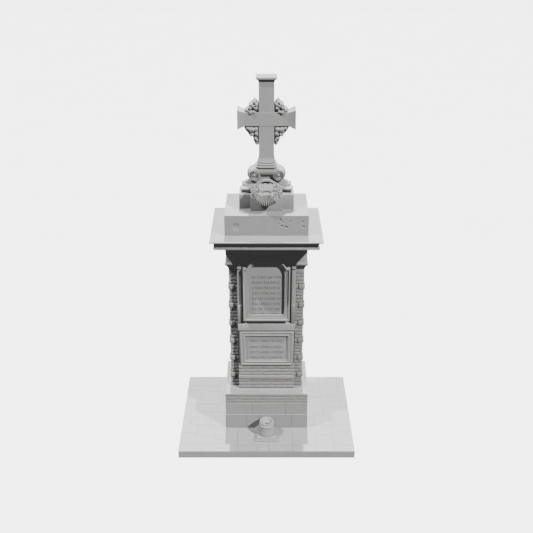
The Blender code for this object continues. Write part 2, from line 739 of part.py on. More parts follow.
def frieze(material):
    """The plain frieze over the shaft and the bed mould that carries the cornice."""
    half_x = FRIEZE_WIDTH / 2
    half_y = FRIEZE_DEPTH / 2
    out_x = CORNICE_WIDTH / 2 - CORNICE_CAVETTO_INSET - half_x
    out_y = CORNICE_DEPTH / 2 - CORNICE_CAVETTO_INSET - half_y
    mould_z = FRIEZE_HEIGHT - BED_MOULD_HEIGHT
    rings = [rectangle(half_x, half_y, FRIEZE_Z + GAP)]
    for k in range(MOULD_SEGMENTS + 1):
        angle = math.pi / 2 * k / MOULD_SEGMENTS
        rise = (1 - math.cos(angle) + math.sin(angle)) / 2
        z = FRIEZE_Z + mould_z + (BED_MOULD_HEIGHT - GAP) * k / MOULD_SEGMENTS
        rings.append(rectangle(half_x + out_x * rise, half_y + out_y * rise, z))
    bm = bmesh.new()
    loft(bm, rings)
    finish("frieze", bm, material)


def cornice(material):
    """The cornice: a band, a hollow, a spreading lip and a weathered top."""
    half_x = CORNICE_WIDTH / 2
    half_y = CORNICE_DEPTH / 2
    hollow = CORNICE_HEIGHT - CORNICE_BAND_HEIGHT - CORNICE_LIP
    profile = [(CORNICE_BAND_INSET, GAP), (CORNICE_BAND_INSET, CORNICE_BAND_HEIGHT)]
    for k in range(MOULD_SEGMENTS + 1):
        angle = math.pi / 2 * k / MOULD_SEGMENTS
        inset = CORNICE_CAVETTO_INSET * math.cos(angle)
        profile.append((inset, CORNICE_BAND_HEIGHT + hollow * math.sin(angle)))
    profile.append((0.0, CORNICE_HEIGHT))
    flat_x = ATTIC_WIDTH / 2
    flat_y = ATTIC_DEPTH / 2
    bm = bmesh.new()
    rings = [rectangle(half_x - inset, half_y - inset, CORNICE_Z + z) for inset, z in profile]
    rings.append(rectangle(flat_x, flat_y, ATTIC_Z))
    loft(bm, rings)
    finish("cornice", bm, material)


def attic(material):
    """The attic block; its front has lost chips of stone."""
    low = (-ATTIC_WIDTH / 2, SETBACK - ATTIC_DEPTH / 2, ATTIC_Z + GAP)
    high = (ATTIC_WIDTH / 2, SETBACK + ATTIC_DEPTH / 2, PEDESTAL_Z)
    stone_block = block("attic_block", low, high, material, ATTIC_ARRIS)
    pits = bmesh.new()
    spots = []
    for k in range(CHIP_RING_COUNT):
        angle = 2 * math.pi * k / CHIP_RING_COUNT + CHIP_RING_TURN
        x = ATTIC_WIDTH * CHIP_RING[0] + CHIP_RING_RADIUS * math.cos(angle)
        z = ATTIC_HEIGHT * CHIP_RING[1] + CHIP_RING_RADIUS * math.sin(angle)
        spots.append((x, z, *CHIP_SIZES[k % len(CHIP_SIZES)]))
    for x, z, radius, depth in CHIP_DENTS:
        spots.append((x * ATTIC_WIDTH, z * ATTIC_HEIGHT, radius, depth))
    for x, z, radius, depth in spots:
        place = Matrix.Translation((x, low[1], ATTIC_Z + z))
        size = Matrix.Diagonal((radius, depth, radius * CHIP_SQUASH, 1.0))
        bmesh.ops.create_icosphere(pits, subdivisions=1, radius=1.0, matrix=place @ size)
    operand = finish("attic_chips", pits, material, operand=True)
    return combine(stone_block, operand, "DIFFERENCE", overlapping=True)


def pedestal_plan(inset, centre_depth, z):
    """Plan of the pedestal: a centre stands forward of its wings, front and back."""
    w = PEDESTAL_WIDTH / 2 - inset
    d = PEDESTAL_DEPTH / 2 - inset
    cw = CENTRE_WIDTH / 2 - inset
    cd = centre_depth
    plan = [
        (-w, -d), (-cw, -d), (-cw, -cd), (cw, -cd), (cw, -d), (w, -d),
        (w, d), (cw, d), (cw, cd), (-cw, cd), (-cw, d), (-w, d),
    ]
    return [(x, SETBACK + y, z) for x, y in plan]


def hood_curve(x):
    """Height of the hood's upper edge: flat at the ends, rising to its crown."""
    reach = HOOD_WIDTH / 2 - HOOD_FLAT_WIDTH
    if abs(x) >= reach:
        return HOOD_FLAT_Z
    return HOOD_FLAT_Z + HOOD_RISE * (1 + math.cos(math.pi * x / reach)) / 2


def hood_points(drop):
    """The hood's edge from left to right, lowered by drop."""
    half = HOOD_WIDTH / 2
    reach = half - HOOD_FLAT_WIDTH
    steps = HOOD_SEGMENTS
    xs = [-half] + [-reach + 2 * reach * k / steps for k in range(steps + 1)] + [half]
    return [(x, hood_curve(x) - drop) for x in xs]


def pedestal(material):
    """The pedestal die and, above a sunk neck, its hood with a gable front and back."""
    die_top = PEDESTAL_Z + PEDESTAL_DIE_HEIGHT
    centre = CENTRE_DEPTH / 2
    inset = PEDESTAL_LEDGE_INSET
    bm = bmesh.new()
    rings = [pedestal_plan(0.0, centre, PEDESTAL_Z + GAP), pedestal_plan(0.0, centre, die_top)]
    rings.append(pedestal_plan(inset, PEDESTAL_DEPTH / 2 - inset / 2, HOOD_Z))
    loft(bm, rings)
    finish("pedestal_die", bm, material)
    half_x = HOOD_WIDTH / 2
    half_y = HOOD_DEPTH / 2 - HOOD_RELIEF
    levels = (HOOD_Z + GAP, HOOD_FLAT_Z)
    sections = [(half_x, half_y, HOOD_CORNER, z) for z in levels]
    for k in range(HOOD_STEPS):
        step_x = HOOD_STEP_WIDTH / 2 - k * HOOD_STEP_INSET
        step_y = (HOOD_STEP_DEPTH - k * HOOD_STEP_INSET) / 2
        foot = HOOD_FLAT_Z + k * HOOD_STEP_RISE
        sections.append((step_x, step_y, HOOD_STEP_RADIUS, foot))
        sections.append((step_x, step_y, HOOD_STEP_RADIUS, foot + HOOD_STEP_RISE - GAP))
    bm = bmesh.new()
    loft(bm, [rounded_rectangle(x, y, radius, z) for x, y, radius, z in sections])
    hood = finish("pedestal_hood", bm, material)
    foot = HOOD_FLAT_Z - HOOD_MOULDING
    gables = bmesh.new()
    for sign in (-1, 1):
        face = SETBACK + sign * HOOD_DEPTH / 2
        wall = SETBACK + sign * (HOOD_DEPTH / 2 - HOOD_RELIEF)
        inner = wall - sign * GABLE_THICKNESS
        band = hood_points(0.0) + hood_points(HOOD_MOULDING)[::-1]
        prism(gables, band, face, inner)
        reach = half_x - HOOD_FLAT_WIDTH
        panel = [(-reach, foot), (reach, foot)]
        panel += [(x, z) for x, z in hood_points(HOOD_MOULDING / 2)[::-1] if abs(x) < reach - GAP]
        prism(gables, panel, wall, inner)
    operand = finish("hood_gables", gables, material, operand=True)
    return combine(hood, operand, "UNION", overlapping=True)


def leaf(bm, matrix, length, width, thickness):
    """A pointed leaf along +X with a raised midrib, thick enough to carve."""
    rim = [(x * length, -y * width, 0.0) for x, y in LEAF_OUTLINE] + [(length, 0.0, 0.0)]
    rim += [(x * length, y * width, 0.0) for x, y in LEAF_OUTLINE[::-1]]
    verts = [bm.verts.new(matrix @ Vector(point)) for point in rim]
    crest = bm.verts.new(matrix @ Vector((length * LEAF_CREST, 0.0, thickness / 2)))
    keel = bm.verts.new(matrix @ Vector((length * LEAF_CREST, 0.0, -thickness / 2)))
    for i in range(len(verts)):
        j = (i + 1) % len(verts)
        bm.faces.new((verts[i], verts[j], crest))
        bm.faces.new((verts[j], verts[i], keel))


def garland_point(turn, share):
    """A point of the garland's plan: share 0 is its opening, share 1 its outline."""
    c, v = math.cos(turn), math.sin(turn)
    taper = 1 + (GARLAND_TAPER_TOP if v > 0 else GARLAND_TAPER_FOOT) * v
    full = math.copysign(abs(v) ** GARLAND_FULLNESS, v)
    outer = Vector((GARLAND_WIDTH / 2 * c * taper, GARLAND_LENGTH / 2 * full))
    taper = 1 + GARLAND_OPENING_TAPER * v
    inner = Vector((GARLAND_OPENING_WIDTH / 2 * c * taper, GARLAND_OPENING_LENGTH / 2 * v))
    return inner.lerp(outer, share)


def garland_place():
    """Where the garland lies: it leans back from its foot to the face of the hood."""
    slope = math.radians(GARLAND_SLOPE_DEG)
    reach = GARLAND_LENGTH / 2 * math.cos(slope) + GARLAND_THICKNESS / 2 * math.sin(slope)
    centre_y = SETBACK - HOOD_DEPTH / 2 - GAP - reach
    centre = Matrix.Translation((0.0, centre_y, HOOD_FLAT_Z - GARLAND_DROP))
    return centre @ Matrix.Rotation(slope, 4, "X")


def garland(material):
    """A thick wreath of leaves and flowers that leans back on a console."""
    thick = GARLAND_THICKNESS
    half = GARLAND_LENGTH / 2
    place = garland_place()
    bm = bmesh.new()
    rings = []
    for k in range(GARLAND_TURNS):
        turn = 2 * math.pi * k / GARLAND_TURNS
        ring = []
        for share, height in GARLAND_SECTION:
            point = garland_point(turn, share)
            ring.append(place @ Vector((point.x, point.y, height * thick)))
        rings.append(ring)
    closed_loft(bm, rings)
    piece = finish("garland", bm, material)
    leaves = bmesh.new()
    lean = Matrix.Rotation(math.radians(GARLAND_LEAF_LEAN_DEG), 4, "Y")
    for k in range(GARLAND_FAN_LEAVES):
        turn = math.radians(-90 + GARLAND_FAN_DEG * (k / (GARLAND_FAN_LEAVES - 1) - 0.5))
        start = garland_point(turn, 0.5)
        matrix = place @ Matrix.Translation((start.x, start.y, thick * GARLAND_LEAF_LIFT))
        matrix = matrix @ Matrix.Rotation(turn, 4, "Z") @ lean
        leaf(leaves, matrix, GARLAND_LEAF_LENGTH, GARLAND_LEAF_WIDTH, GARLAND_LEAF_THICKNESS)
    carving = finish("garland_leaves", leaves, material, operand=True)
    combine(piece, carving, "UNION", overlapping=True)
    flowers = bmesh.new()
    radius = GARLAND_ROSETTE_RADIUS
    profile = [(r * radius, h * radius) for r, h in GARLAND_ROSETTE_PROFILE]
    for turn in (GARLAND_ROSETTE_DEG, 180 - GARLAND_ROSETTE_DEG):
        spot = garland_point(math.radians(turn), GARLAND_ROSETTE_SHARE)
        matrix = place @ Matrix.Translation((spot.x, spot.y, thick * GARLAND_LEAF_LIFT))
        turned(flowers, profile, GARLAND_ROSETTE_SIDES, matrix)
    combine(piece, finish("garland_flowers", flowers, material, operand=True), "UNION")
    wall = SETBACK - HOOD_DEPTH / 2 + HOOD_RELIEF - GAP
    back_z = HOOD_FLAT_Z - HOOD_MOULDING + GARLAND_CONSOLE_FOOT
    nose = place @ Vector((0.0, -half * 0.75, -thick * GARLAND_LEAF_LIFT))
    crest = place @ Vector((0.0, half * 0.6, 0.0))
    width = GARLAND_CONSOLE_WIDTH / 2
    crest_z = hood_curve(width) - HOOD_MOULDING - 2 * GAP
    side = [(wall, back_z), (nose.y, nose.z), (crest.y, crest.z), (wall, crest_z)]
    console = bmesh.new()
    loft(console, [[(x, y, z) for y, z in side] for x in (-width, width)])
    return combine(piece, finish("garland_console", console, material, operand=True), "UNION")


def volute_capital(material):
    """Two bolsters that end in rolled volutes, with a sunk channel between them."""
    radius = VOLUTE_RADIUS
    belly = VOLUTE_BOLSTER_RADIUS
    half = VOLUTE_DEPTH / 2
    eye_z = VOLUTE_Z + (VOLUTE_HEIGHT + GAP) / 2 + VOLUTE_EYE_RAISE
    face = [(radius * r, half + VOLUTE_GROOVE * h) for r, h in VOLUTE_FACE]
    face.append((0.0, half + VOLUTE_BOSS))
    shank = [(radius, half - VOLUTE_NECK)] + [(belly * r, half * h) for r, h in VOLUTE_SHANK]
    profile = [(r, -h) for r, h in face[::-1]] + [(r, -h) for r, h in shank]
    profile += [(r, h) for r, h in shank[::-1]] + face
    width = VOLUTE_SPACING / 2
    low_z = VOLUTE_Z + GAP
    top_z = CROSS_Z
    bm = bmesh.new()
    deep = half - VOLUTE_CHANNEL_RECESS
    band_z = top_z - VOLUTE_BAND_HEIGHT
    curve = VOLUTE_BAND_ROUND
    rings = [rectangle(width, deep, z) for z in (low_z, band_z)]
    front = half - VOLUTE_BAND_SETBACK
    rings += [rectangle(width, front - curve, band_z), rectangle(width, front, band_z + curve)]
    rings += [rectangle(width, front, top_z - 2 * curve), rectangle(width, front - curve, top_z)]
    loft(bm, rings)
    piece = finish("volute_capital", bm, material)
    along_y = Matrix.Rotation(math.radians(90), 4, "X")
    for name, sign in (("left", -1), ("right", 1)):
        bolster = bmesh.new()
        place = Matrix.Translation((sign * width, SETBACK, eye_z)) @ along_y
        turned(bolster, profile, VOLUTE_SIDES, place)
        combine(piece, finish(f"bolster_{name}", bolster, material, operand=True), "UNION")
    out = CROSS_FOOT_FLARE_OUT + (CROSS_FOOT_STEPS - 1) * CROSS_FOOT_STEP_OUT
    out += CROSS_FOOT_NOSING + GAP
    seat = bmesh.new()
    seat_x = CROSS_SHAFT_WIDTH / 2 + out
    seat_y = CROSS_SHAFT_DEPTH / 2 + out
    loft(seat, [rectangle(seat_x, seat_y, z) for z in (top_z, top_z + belly)])
    return combine(piece, finish("cross_seat", seat, material, operand=True), "DIFFERENCE")


def cross_shaft(bm):
    """The upright of the cross: flared foot, shaft and spreading head."""
    half_x = CROSS_SHAFT_WIDTH / 2
    half_y = CROSS_SHAFT_DEPTH / 2
    foot_z = CROSS_Z + CROSS_FOOT_STEPS * CROSS_FOOT_STEP_HEIGHT
    out = CROSS_FOOT_FLARE_OUT
    rings = [rectangle(half_x + out, half_y + out, CROSS_Z + GAP)]
    for k in range(CROSS_FLARE_SEGMENTS):
        turn = k / (CROSS_FLARE_SEGMENTS - 1)
        share = 1 - math.sin(math.pi / 2 * turn)
        z = foot_z + CROSS_FOOT_FLARE_HEIGHT * turn
        rings.append(rectangle(half_x + out * share, half_y + out * share, z))
    under = CROSS_Z + CROSS_HEIGHT - CROSS_HEAD_THICKNESS
    grow_x = CROSS_HEAD_WIDTH / 2 - half_x
    grow_y = CROSS_HEAD_DEPTH / 2 - half_y
    for k in range(CROSS_FLARE_SEGMENTS + 1):
        angle = math.pi / 2 * k / CROSS_FLARE_SEGMENTS
        share = 1 - math.cos(angle)
        height = under - CROSS_HEAD_FLARE * (1 - math.sin(angle))
        rings.append(rectangle(half_x + grow_x * share, half_y + grow_y * share, height))
    for inset, height in CROSS_HEAD_EDGE:
        z = under + CROSS_HEAD_THICKNESS * height
        rings.append(rectangle(half_x + grow_x - inset, half_y + grow_y - inset, z))
    loft(bm, rings)


def cross_foot(bm):
    """Steps with rounded corners and noses round the foot of the shaft."""
    half_x = CROSS_SHAFT_WIDTH / 2 + CROSS_FOOT_FLARE_OUT
    half_y = CROSS_SHAFT_DEPTH / 2 + CROSS_FOOT_FLARE_OUT
    step = CROSS_FOOT_STEP_HEIGHT
    rings = []
    for k in range(CROSS_FOOT_STEPS):
        z = CROSS_Z + GAP + k * step
        out = (CROSS_FOOT_STEPS - k - 1) * CROSS_FOOT_STEP_OUT
        levels = ((0.0, z), (CROSS_FOOT_NOSING, z + step / 2), (0.0, z + step - 2 * GAP))
        for nose, level in levels:
            x, y = half_x + out + nose, half_y + out + nose
            rings.append(rounded_rectangle(x, y, CROSS_FOOT_CORNER, level))
    loft(bm, rings)


def cross_arms(bm):
    """The arms of the cross, which spread in a hollow curve toward their tips."""
    middle = CROSS_Z + CROSS_ARM_CENTRE
    half_z = CROSS_ARM_HEIGHT / 2
    half_y = CROSS_SHAFT_DEPTH / 2 + CROSS_ARM_PROUD
    grow_z = CROSS_ARM_TIP_HEIGHT / 2 - half_z
    grow_y = CROSS_HEAD_DEPTH / 2 - half_y
    tip = CROSS_SPAN / 2
    sections = [(tip, 1.0)]
    for k in range(CROSS_FLARE_SEGMENTS + 1):
        angle = math.pi / 2 * k / CROSS_FLARE_SEGMENTS
        x = tip - CROSS_ARM_TIP - (CROSS_ARM_FLARE - CROSS_ARM_TIP) * math.sin(angle)
        sections.append((x, (1 - math.sin(angle)) ** CROSS_ARM_CURVE))
    sections += [(-x, share) for x, share in sections[::-1]]
    rings = []
    for x, share in sections:
        y = half_y + grow_y * share
        z = half_z + grow_z * share
        rings.append([
            (x, SETBACK - y, middle - z),
            (x, SETBACK + y, middle - z),
            (x, SETBACK + y, middle + z),
            (x, SETBACK - y, middle + z),
        ])
    loft(bm, rings)


def foliage(bm, side, up):
    """A lobed mass of leaves in one angle of the cross, thickest at its middle."""
    corner_x = CROSS_SHAFT_WIDTH / 2
    corner_z = CROSS_Z + CROSS_ARM_CENTRE + up * CROSS_ARM_HEIGHT / 2
    reach = FOLIAGE_REACH
    rise = FOLIAGE_RISE if up > 0 else FOLIAGE_DROP
    lobes = FOLIAGE_UPPER_LOBES if up > 0 else FOLIAGE_LOWER_LOBES
    root = FOLIAGE_ROOT
    plan = [(-root, -root), *lobes, (-root, lobes[-1][1])]
    rings = []
    for y, share in FOLIAGE_SECTION:
        ring = []
        for a, b in plan:
            x = side * (corner_x + max(a * share, -root) * reach)
            z = corner_z + up * max(b * share, -root) * rise
            ring.append((x, SETBACK + y * FOLIAGE_THICKNESS, z))
        rings.append(ring)
    loft(bm, rings)
    if up > 0:
        for layer in (-1, 1):
            spot = (
                side * (corner_x + reach * FOLIAGE_CURL_SPOT),
                SETBACK + layer * CROSS_SHAFT_DEPTH / 2,
                corner_z + FOLIAGE_CURL / 2,
            )
            size = Matrix.Diagonal((FOLIAGE_CURL, FOLIAGE_CURL, FOLIAGE_CURL, 1.0))
            place = Matrix.Translation(spot) @ size
            bmesh.ops.create_icosphere(bm, subdivisions=1, radius=1.0, matrix=place)


def cross(material):
    """The cross, carved in one with its foot and the foliage in its four angles."""
    shaft = bmesh.new()
    cross_shaft(shaft)
    piece = finish("cross", shaft, material)
    foot = bmesh.new()
    cross_foot(foot)
    combine(piece, finish("cross_foot", foot, material, operand=True), "UNION")
    arms = bmesh.new()
    cross_arms(arms)
    combine(piece, finish("cross_arms", arms, material, operand=True), "UNION")
    for side in (-1, 1):
        for up in (-1, 1):
            name = f"foliage_{'left' if side < 0 else 'right'}_{'lower' if up < 0 else 'upper'}"
            carving = bmesh.new()
            foliage(carving, side, up)
            operand = finish(name, carving, material, operand=True)
            combine(piece, operand, "UNION", overlapping=True)
    return piece


def vase(material):
    """A bored stone vase on two square plates, against the front of the plinth."""
    back = PLINTH_FRONT - GAP
    foot_z = PLATFORM_HEIGHT + GAP
    mid_z = PLATFORM_HEIGHT + LOWER_PLATE_HEIGHT
    top_z = mid_z + UPPER_PLATE_HEIGHT
    half = LOWER_PLATE_WIDTH / 2
    low = (-half, back - LOWER_PLATE_DEPTH, foot_z)
    block("vase_plate_lower", low, (half, back, mid_z), material, PLATE_ARRIS)
    half = UPPER_PLATE_WIDTH / 2
    low = (-half, back - UPPER_PLATE_DEPTH, mid_z + GAP)
    block("vase_plate_upper", low, (half, back, top_z), material, PLATE_ARRIS)
    lip = VASE_HEIGHT - VASE_RIM_HEIGHT
    arris = VASE_ARRIS
    bore_z = VASE_HEIGHT - VASE_BORE_DEPTH
    socket_z = VASE_HEIGHT - VASE_SOCKET_DEPTH
    profile = (
        (0.0, 0.0),
        (VASE_FOOT_RADIUS - arris, 0.0),
        (VASE_FOOT_RADIUS, arris),
        (VASE_SHOULDER_RADIUS, VASE_SHOULDER_HEIGHT),
        (VASE_SHOULDER_RADIUS - arris, VASE_SHOULDER_HEIGHT + arris),
        (VASE_NECK_RADIUS, lip - arris),
        (VASE_NECK_RADIUS, lip),
        (VASE_RIM_RADIUS, lip + arris),
        (VASE_RIM_RADIUS, VASE_HEIGHT - arris),
        (VASE_RIM_RADIUS - arris, VASE_HEIGHT),
        (VASE_BORE_RADIUS + arris, VASE_HEIGHT),
        (VASE_BORE_RADIUS, VASE_HEIGHT - arris),
        (VASE_BORE_RADIUS * VASE_BORE_TAPER, bore_z),
        (VASE_SOCKET_RADIUS, bore_z),
        (VASE_SOCKET_RADIUS, socket_z),
        (0.0, socket_z),
    )
    bm = bmesh.new()
    centre_y = back - UPPER_PLATE_DEPTH / 2
    turned(bm, profile, VASE_SIDES, Matrix.Translation((0.0, centre_y, top_z + GAP)))
    piece = finish("vase", bm, material)
    piece.data.shade_smooth()
    piece.data.set_sharp_from_angle(angle=math.radians(VASE_CREASE_DEG))
    return piece


def main():
    clear_scene()
    limestone = stone("limestone", 0.62, 0.85)
    pale = stone("pale_limestone", 0.66, 0.80)
    marble = stone("marble", 0.68, 0.60)
    brick = stone("brick", 0.60, 0.90)
    mortar = stone("mortar", 0.62, 0.95)
    paving(limestone)
    height = PLINTH_LOWER_HEIGHT
    ashlar_course("plinth_lower", PLINTH_Z, height, 0.0, LOWER_COURSE_JOINTS, limestone)
    height = PLINTH_UPPER_HEIGHT
    setback = PLINTH_UPPER_SETBACK
    ashlar_course("plinth_upper", PLINTH_UPPER_Z, height, setback, UPPER_COURSE_JOINTS, limestone)
    plinth_top(brick, mortar)
    piers(brick, limestone)
    bay_foot(brick)
    lower_stage(limestone, marble)
    upper_stage(limestone, marble)
    frieze(limestone)
    cornice(limestone)
    attic(limestone)
    pedestal(pale)
    garland(pale)
    volute_capital(pale)
    cross(pale)
    vase(limestone)


main()
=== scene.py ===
"""War memorial of pale stone and brick, seen from in front and above."""

import json
import math
import random

import bmesh
import bpy
from mathutils import Matrix, Vector, noise

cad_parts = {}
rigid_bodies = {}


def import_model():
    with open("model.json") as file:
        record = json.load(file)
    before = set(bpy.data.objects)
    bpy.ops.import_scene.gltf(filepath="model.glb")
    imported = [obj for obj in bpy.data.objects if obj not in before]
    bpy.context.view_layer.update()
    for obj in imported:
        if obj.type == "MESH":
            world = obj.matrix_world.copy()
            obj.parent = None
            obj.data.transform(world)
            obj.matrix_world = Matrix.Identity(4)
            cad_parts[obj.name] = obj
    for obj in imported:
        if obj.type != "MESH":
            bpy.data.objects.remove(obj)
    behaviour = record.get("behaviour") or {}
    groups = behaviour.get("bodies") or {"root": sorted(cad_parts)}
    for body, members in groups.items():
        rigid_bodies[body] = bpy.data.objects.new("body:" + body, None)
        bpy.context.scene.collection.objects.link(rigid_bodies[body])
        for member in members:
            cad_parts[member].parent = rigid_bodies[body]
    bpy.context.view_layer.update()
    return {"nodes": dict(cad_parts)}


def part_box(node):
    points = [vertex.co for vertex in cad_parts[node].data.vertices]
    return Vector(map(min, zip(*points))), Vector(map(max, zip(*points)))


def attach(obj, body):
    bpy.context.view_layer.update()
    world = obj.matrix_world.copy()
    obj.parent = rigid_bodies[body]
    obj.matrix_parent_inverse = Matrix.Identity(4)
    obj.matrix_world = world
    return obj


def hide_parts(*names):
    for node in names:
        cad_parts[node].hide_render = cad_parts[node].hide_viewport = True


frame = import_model()
NODES = frame["nodes"]
RNG = random.Random(11)
noise.seed_set(11)

# Levels and planes that the pieces below stand on, in metres
SETBACK = 0.055
SHAFT_Z = 0.8716
BAY_HALF = 0.475
BAY_FRONT = -0.296
PIER_IN = 0.4753
PIER_OUT = 0.616
PIER_HALF_Y = 0.265
PIER_HEIGHT = 2.290
COURSE = 0.0633
QUOIN = 0.093
JOINT = 0.013
JOINT_DEPTH = 0.010
HOOD_FLAT_Z = 4.5198
VOLUTE_Z = 4.5938
CROSS_Z = 4.8328
ARM_Z = CROSS_Z + 0.753


# Materials

class Graph:
    """A node material under construction."""

    def __init__(self, name, roughness, specular=0.35):
        self.material = bpy.data.materials.new(name)
        self.material.use_nodes = True
        self.tree = self.material.node_tree
        self.shader = self.tree.nodes["Principled BSDF"]
        self.shader.inputs["Roughness"].default_value = roughness
        self.shader.inputs["Specular IOR Level"].default_value = specular
        self.coords = self.add("ShaderNodeTexCoord").outputs["Object"]

    def add(self, kind, inputs=None, **settings):
        node = self.tree.nodes.new(kind)
        for key, value in settings.items():
            setattr(node, key, value)
        for key, value in (inputs or {}).items():
            if isinstance(value, bpy.types.NodeSocket):
                self.tree.links.new(value, node.inputs[key])
            else:
                node.inputs[key].default_value = value
        return node

    def stretched(self, scale):
        return self.add("ShaderNodeMapping", {"Vector": self.coords, "Scale": scale}).outputs[0]

    def noise(self, scale, detail=4.0, rough=0.55, vector=None):
        values = {"Vector": vector or self.coords, "Scale": scale, "Detail": detail, "Roughness": rough}
        return self.add("ShaderNodeTexNoise", values).outputs[0]

    def span(self, value, low, high, out_low, out_high):
        values = {"Value": value, 1: low, 2: high, 3: out_low, 4: out_high}
        return self.add("ShaderNodeMapRange", values).outputs[0]

    def times(self, a, b):
        return self.add("ShaderNodeMath", {0: a, 1: b}, operation="MULTIPLY").outputs[0]

    def bump(self, height, distance, strength=1.0, normal=None):
        values = {"Height": height, "Distance": distance, "Strength": strength}
        if normal is not None:
            values["Normal"] = normal
        return self.add("ShaderNodeBump", values).outputs[0]

    def colour(self, value, tint):
        """A near-neutral colour from one brightness."""
        parts = {i: self.times(value, tint[i]) for i in range(3)}
        out = self.add("ShaderNodeCombineColor", parts).outputs[0]
        self.tree.links.new(out, self.shader.inputs["Base Color"])

    def finish(self, normal, roughness):
        self.tree.links.new(normal, self.shader.inputs["Normal"])
        self.tree.links.new(roughness, self.shader.inputs["Roughness"])
        return self.material


def masonry(name, grey, roughness, grain, pits, mottle, streaks, hollow_shade, tint=(1.0, 0.995, 0.985)):
    """Weathered stone: mottled, streaked by rain, darkened in its hollows by painted shade, with grain and
    pits.
    """
    g = Graph(name, roughness)
    value = g.span(g.noise(1.7, 5.0), 0.3, 0.7, grey * (1 - mottle), grey * (1 + mottle))
    value = g.times(value, g.span(g.noise(17.0, 6.0, 0.62), 0.3, 0.7, 1 - mottle, 1 + mottle))
    value = g.times(value, g.span(g.noise(190.0, 3.0, 0.7), 0.3, 0.7, 0.96, 1.04))
    rain = g.noise(1.0, 5.0, 0.6, g.stretched((15.0, 15.0, 1.1)))
    value = g.times(value, g.span(rain, 0.52, 0.74, 1.0, 1 - streaks))
    # Painted shade: ambient occlusion darkens the colour in hollows, recesses and joints
    occlusion_shade = g.add("ShaderNodeAmbientOcclusion", {"Distance": 0.07}, samples=6).outputs["AO"]
    value = g.times(value, g.span(occlusion_shade, 0.25, 0.85, 1 - hollow_shade, 1.0))
    piece = g.add("ShaderNodeObjectInfo").outputs["Random"]
    value = g.times(value, g.span(piece, 0.0, 1.0, 0.975, 1.02))
    g.colour(value, tint)
    fine = g.noise(260.0, 4.0, 0.65)
    holes = g.span(g.noise(58.0, 3.0, 0.5), 0.60, 0.70, 0.0, 1.0)
    broad = g.noise(9.0, 4.0, 0.5)
    normal = g.bump(broad, 0.004, 0.5)
    normal = g.bump(g.times(holes, -1.0), pits, 0.8, normal)
    normal = g.bump(fine, grain, 0.7, normal)
    return g.finish(normal, g.span(fine, 0.3, 0.7, roughness - 0.06, roughness + 0.06))


def marble():
    """Honed marble: nearly even, with soft wandering veins and painted shade in its hollows."""
    g = Graph("marble", 0.5, 0.45)
    drift = g.noise(3.2, 5.0, 0.6)
    veins = g.add("ShaderNodeTexWave", {"Vector": g.coords, "Scale": 1.3, "Distortion": 9.0,
                                        "Detail": 5.0, "Detail Scale": 1.6}).outputs["Fac"]
    value = g.span(drift, 0.3, 0.7, 0.64, 0.69)
    value = g.times(value, g.span(veins, 0.0, 0.16, 0.95, 1.0))
    # Painted shade: ambient occlusion darkens the colour beside the raised strokes and the frame
    occlusion_shade = g.add("ShaderNodeAmbientOcclusion", {"Distance": 0.03}, samples=6).outputs["AO"]
    value = g.times(value, g.span(occlusion_shade, 0.3, 0.9, 0.86, 1.0))
    g.colour(value, (1.0, 1.0, 0.992))
    fine = g.noise(140.0, 3.0, 0.6)
    return g.finish(g.bump(fine, 0.0005, 0.5), g.span(drift, 0.3, 0.7, 0.42, 0.56))


def plain_floor():
    g = Graph("floor", 0.9, 0.1)
    value = g.span(g.noise(0.4, 2.0), 0.3, 0.7, 0.93, 0.95)
    g.colour(value, (1.0, 1.0, 1.0))
    return g.material


# The last setting of each stone is the strength of the painted shade in its hollows
SLOTS = {
    "limestone": masonry("limestone", grey=0.655, roughness=0.84, grain=0.0009, pits=0.0022,
                         mottle=0.030, streaks=0.04, hollow_shade=0.10),
    "pale_limestone": masonry("pale_limestone", grey=0.675, roughness=0.80, grain=0.0007, pits=0.0014,
                              mottle=0.025, streaks=0.035, hollow_shade=0.12),
    "brick": masonry("brick", grey=0.625, roughness=0.88, grain=0.0012, pits=0.0020,
                     mottle=0.05, streaks=0.03, hollow_shade=0.08, tint=(1.0, 0.985, 0.97)),
    "mortar": masonry("mortar", grey=0.60, roughness=0.93, grain=0.0018, pits=0.0030,
                      mottle=0.05, streaks=0.03, hollow_shade=0.08),
    "marble": marble(),
}
PALE_NODES = ("pedestal", "garland", "volute", "cross")


def stone_of(node):
    """The material of a CAD node, by its name."""
    if node.startswith(PALE_NODES):
        return "pale_limestone"
    if "tablet" in node:
        return "marble"
    if node.startswith(("pier_left", "pier_right", "bay_foot", "plinth_brick")):
        return "brick"
    return "mortar" if node == "plinth_bed" else "limestone"


# Shading of the CAD nodes: joined faces, worn arrises, smooth curves

CREASE = math.radians(32)


def smoothing():
    """Smooth shading except across edges sharper than a crease."""
    tree = bpy.data.node_groups.new("smooth_curves", "GeometryNodeTree")
    tree.interface.new_socket("Geometry", in_out="INPUT", socket_type="NodeSocketGeometry")
    tree.interface.new_socket("Geometry", in_out="OUTPUT", socket_type="NodeSocketGeometry")
    start = tree.nodes.new("NodeGroupInput")
    end = tree.nodes.new("NodeGroupOutput")
    faces = tree.nodes.new("GeometryNodeSetShadeSmooth")
    edges = tree.nodes.new("GeometryNodeSetShadeSmooth")
    edges.domain = "EDGE"
    edges.inputs["Shade Smooth"].default_value = False
    angle = tree.nodes.new("GeometryNodeInputMeshEdgeAngle")
    sharp = tree.nodes.new("FunctionNodeCompare")
    sharp.operation = "GREATER_THAN"
    sharp.inputs["B"].default_value = CREASE
    tree.links.new(start.outputs[0], faces.inputs["Geometry"])
    tree.links.new(faces.outputs[0], edges.inputs["Geometry"])
    tree.links.new(angle.outputs["Unsigned Angle"], sharp.inputs["A"])
    tree.links.new(sharp.outputs[0], edges.inputs["Selection"])
    tree.links.new(edges.outputs[0], end.inputs[0])
    return tree


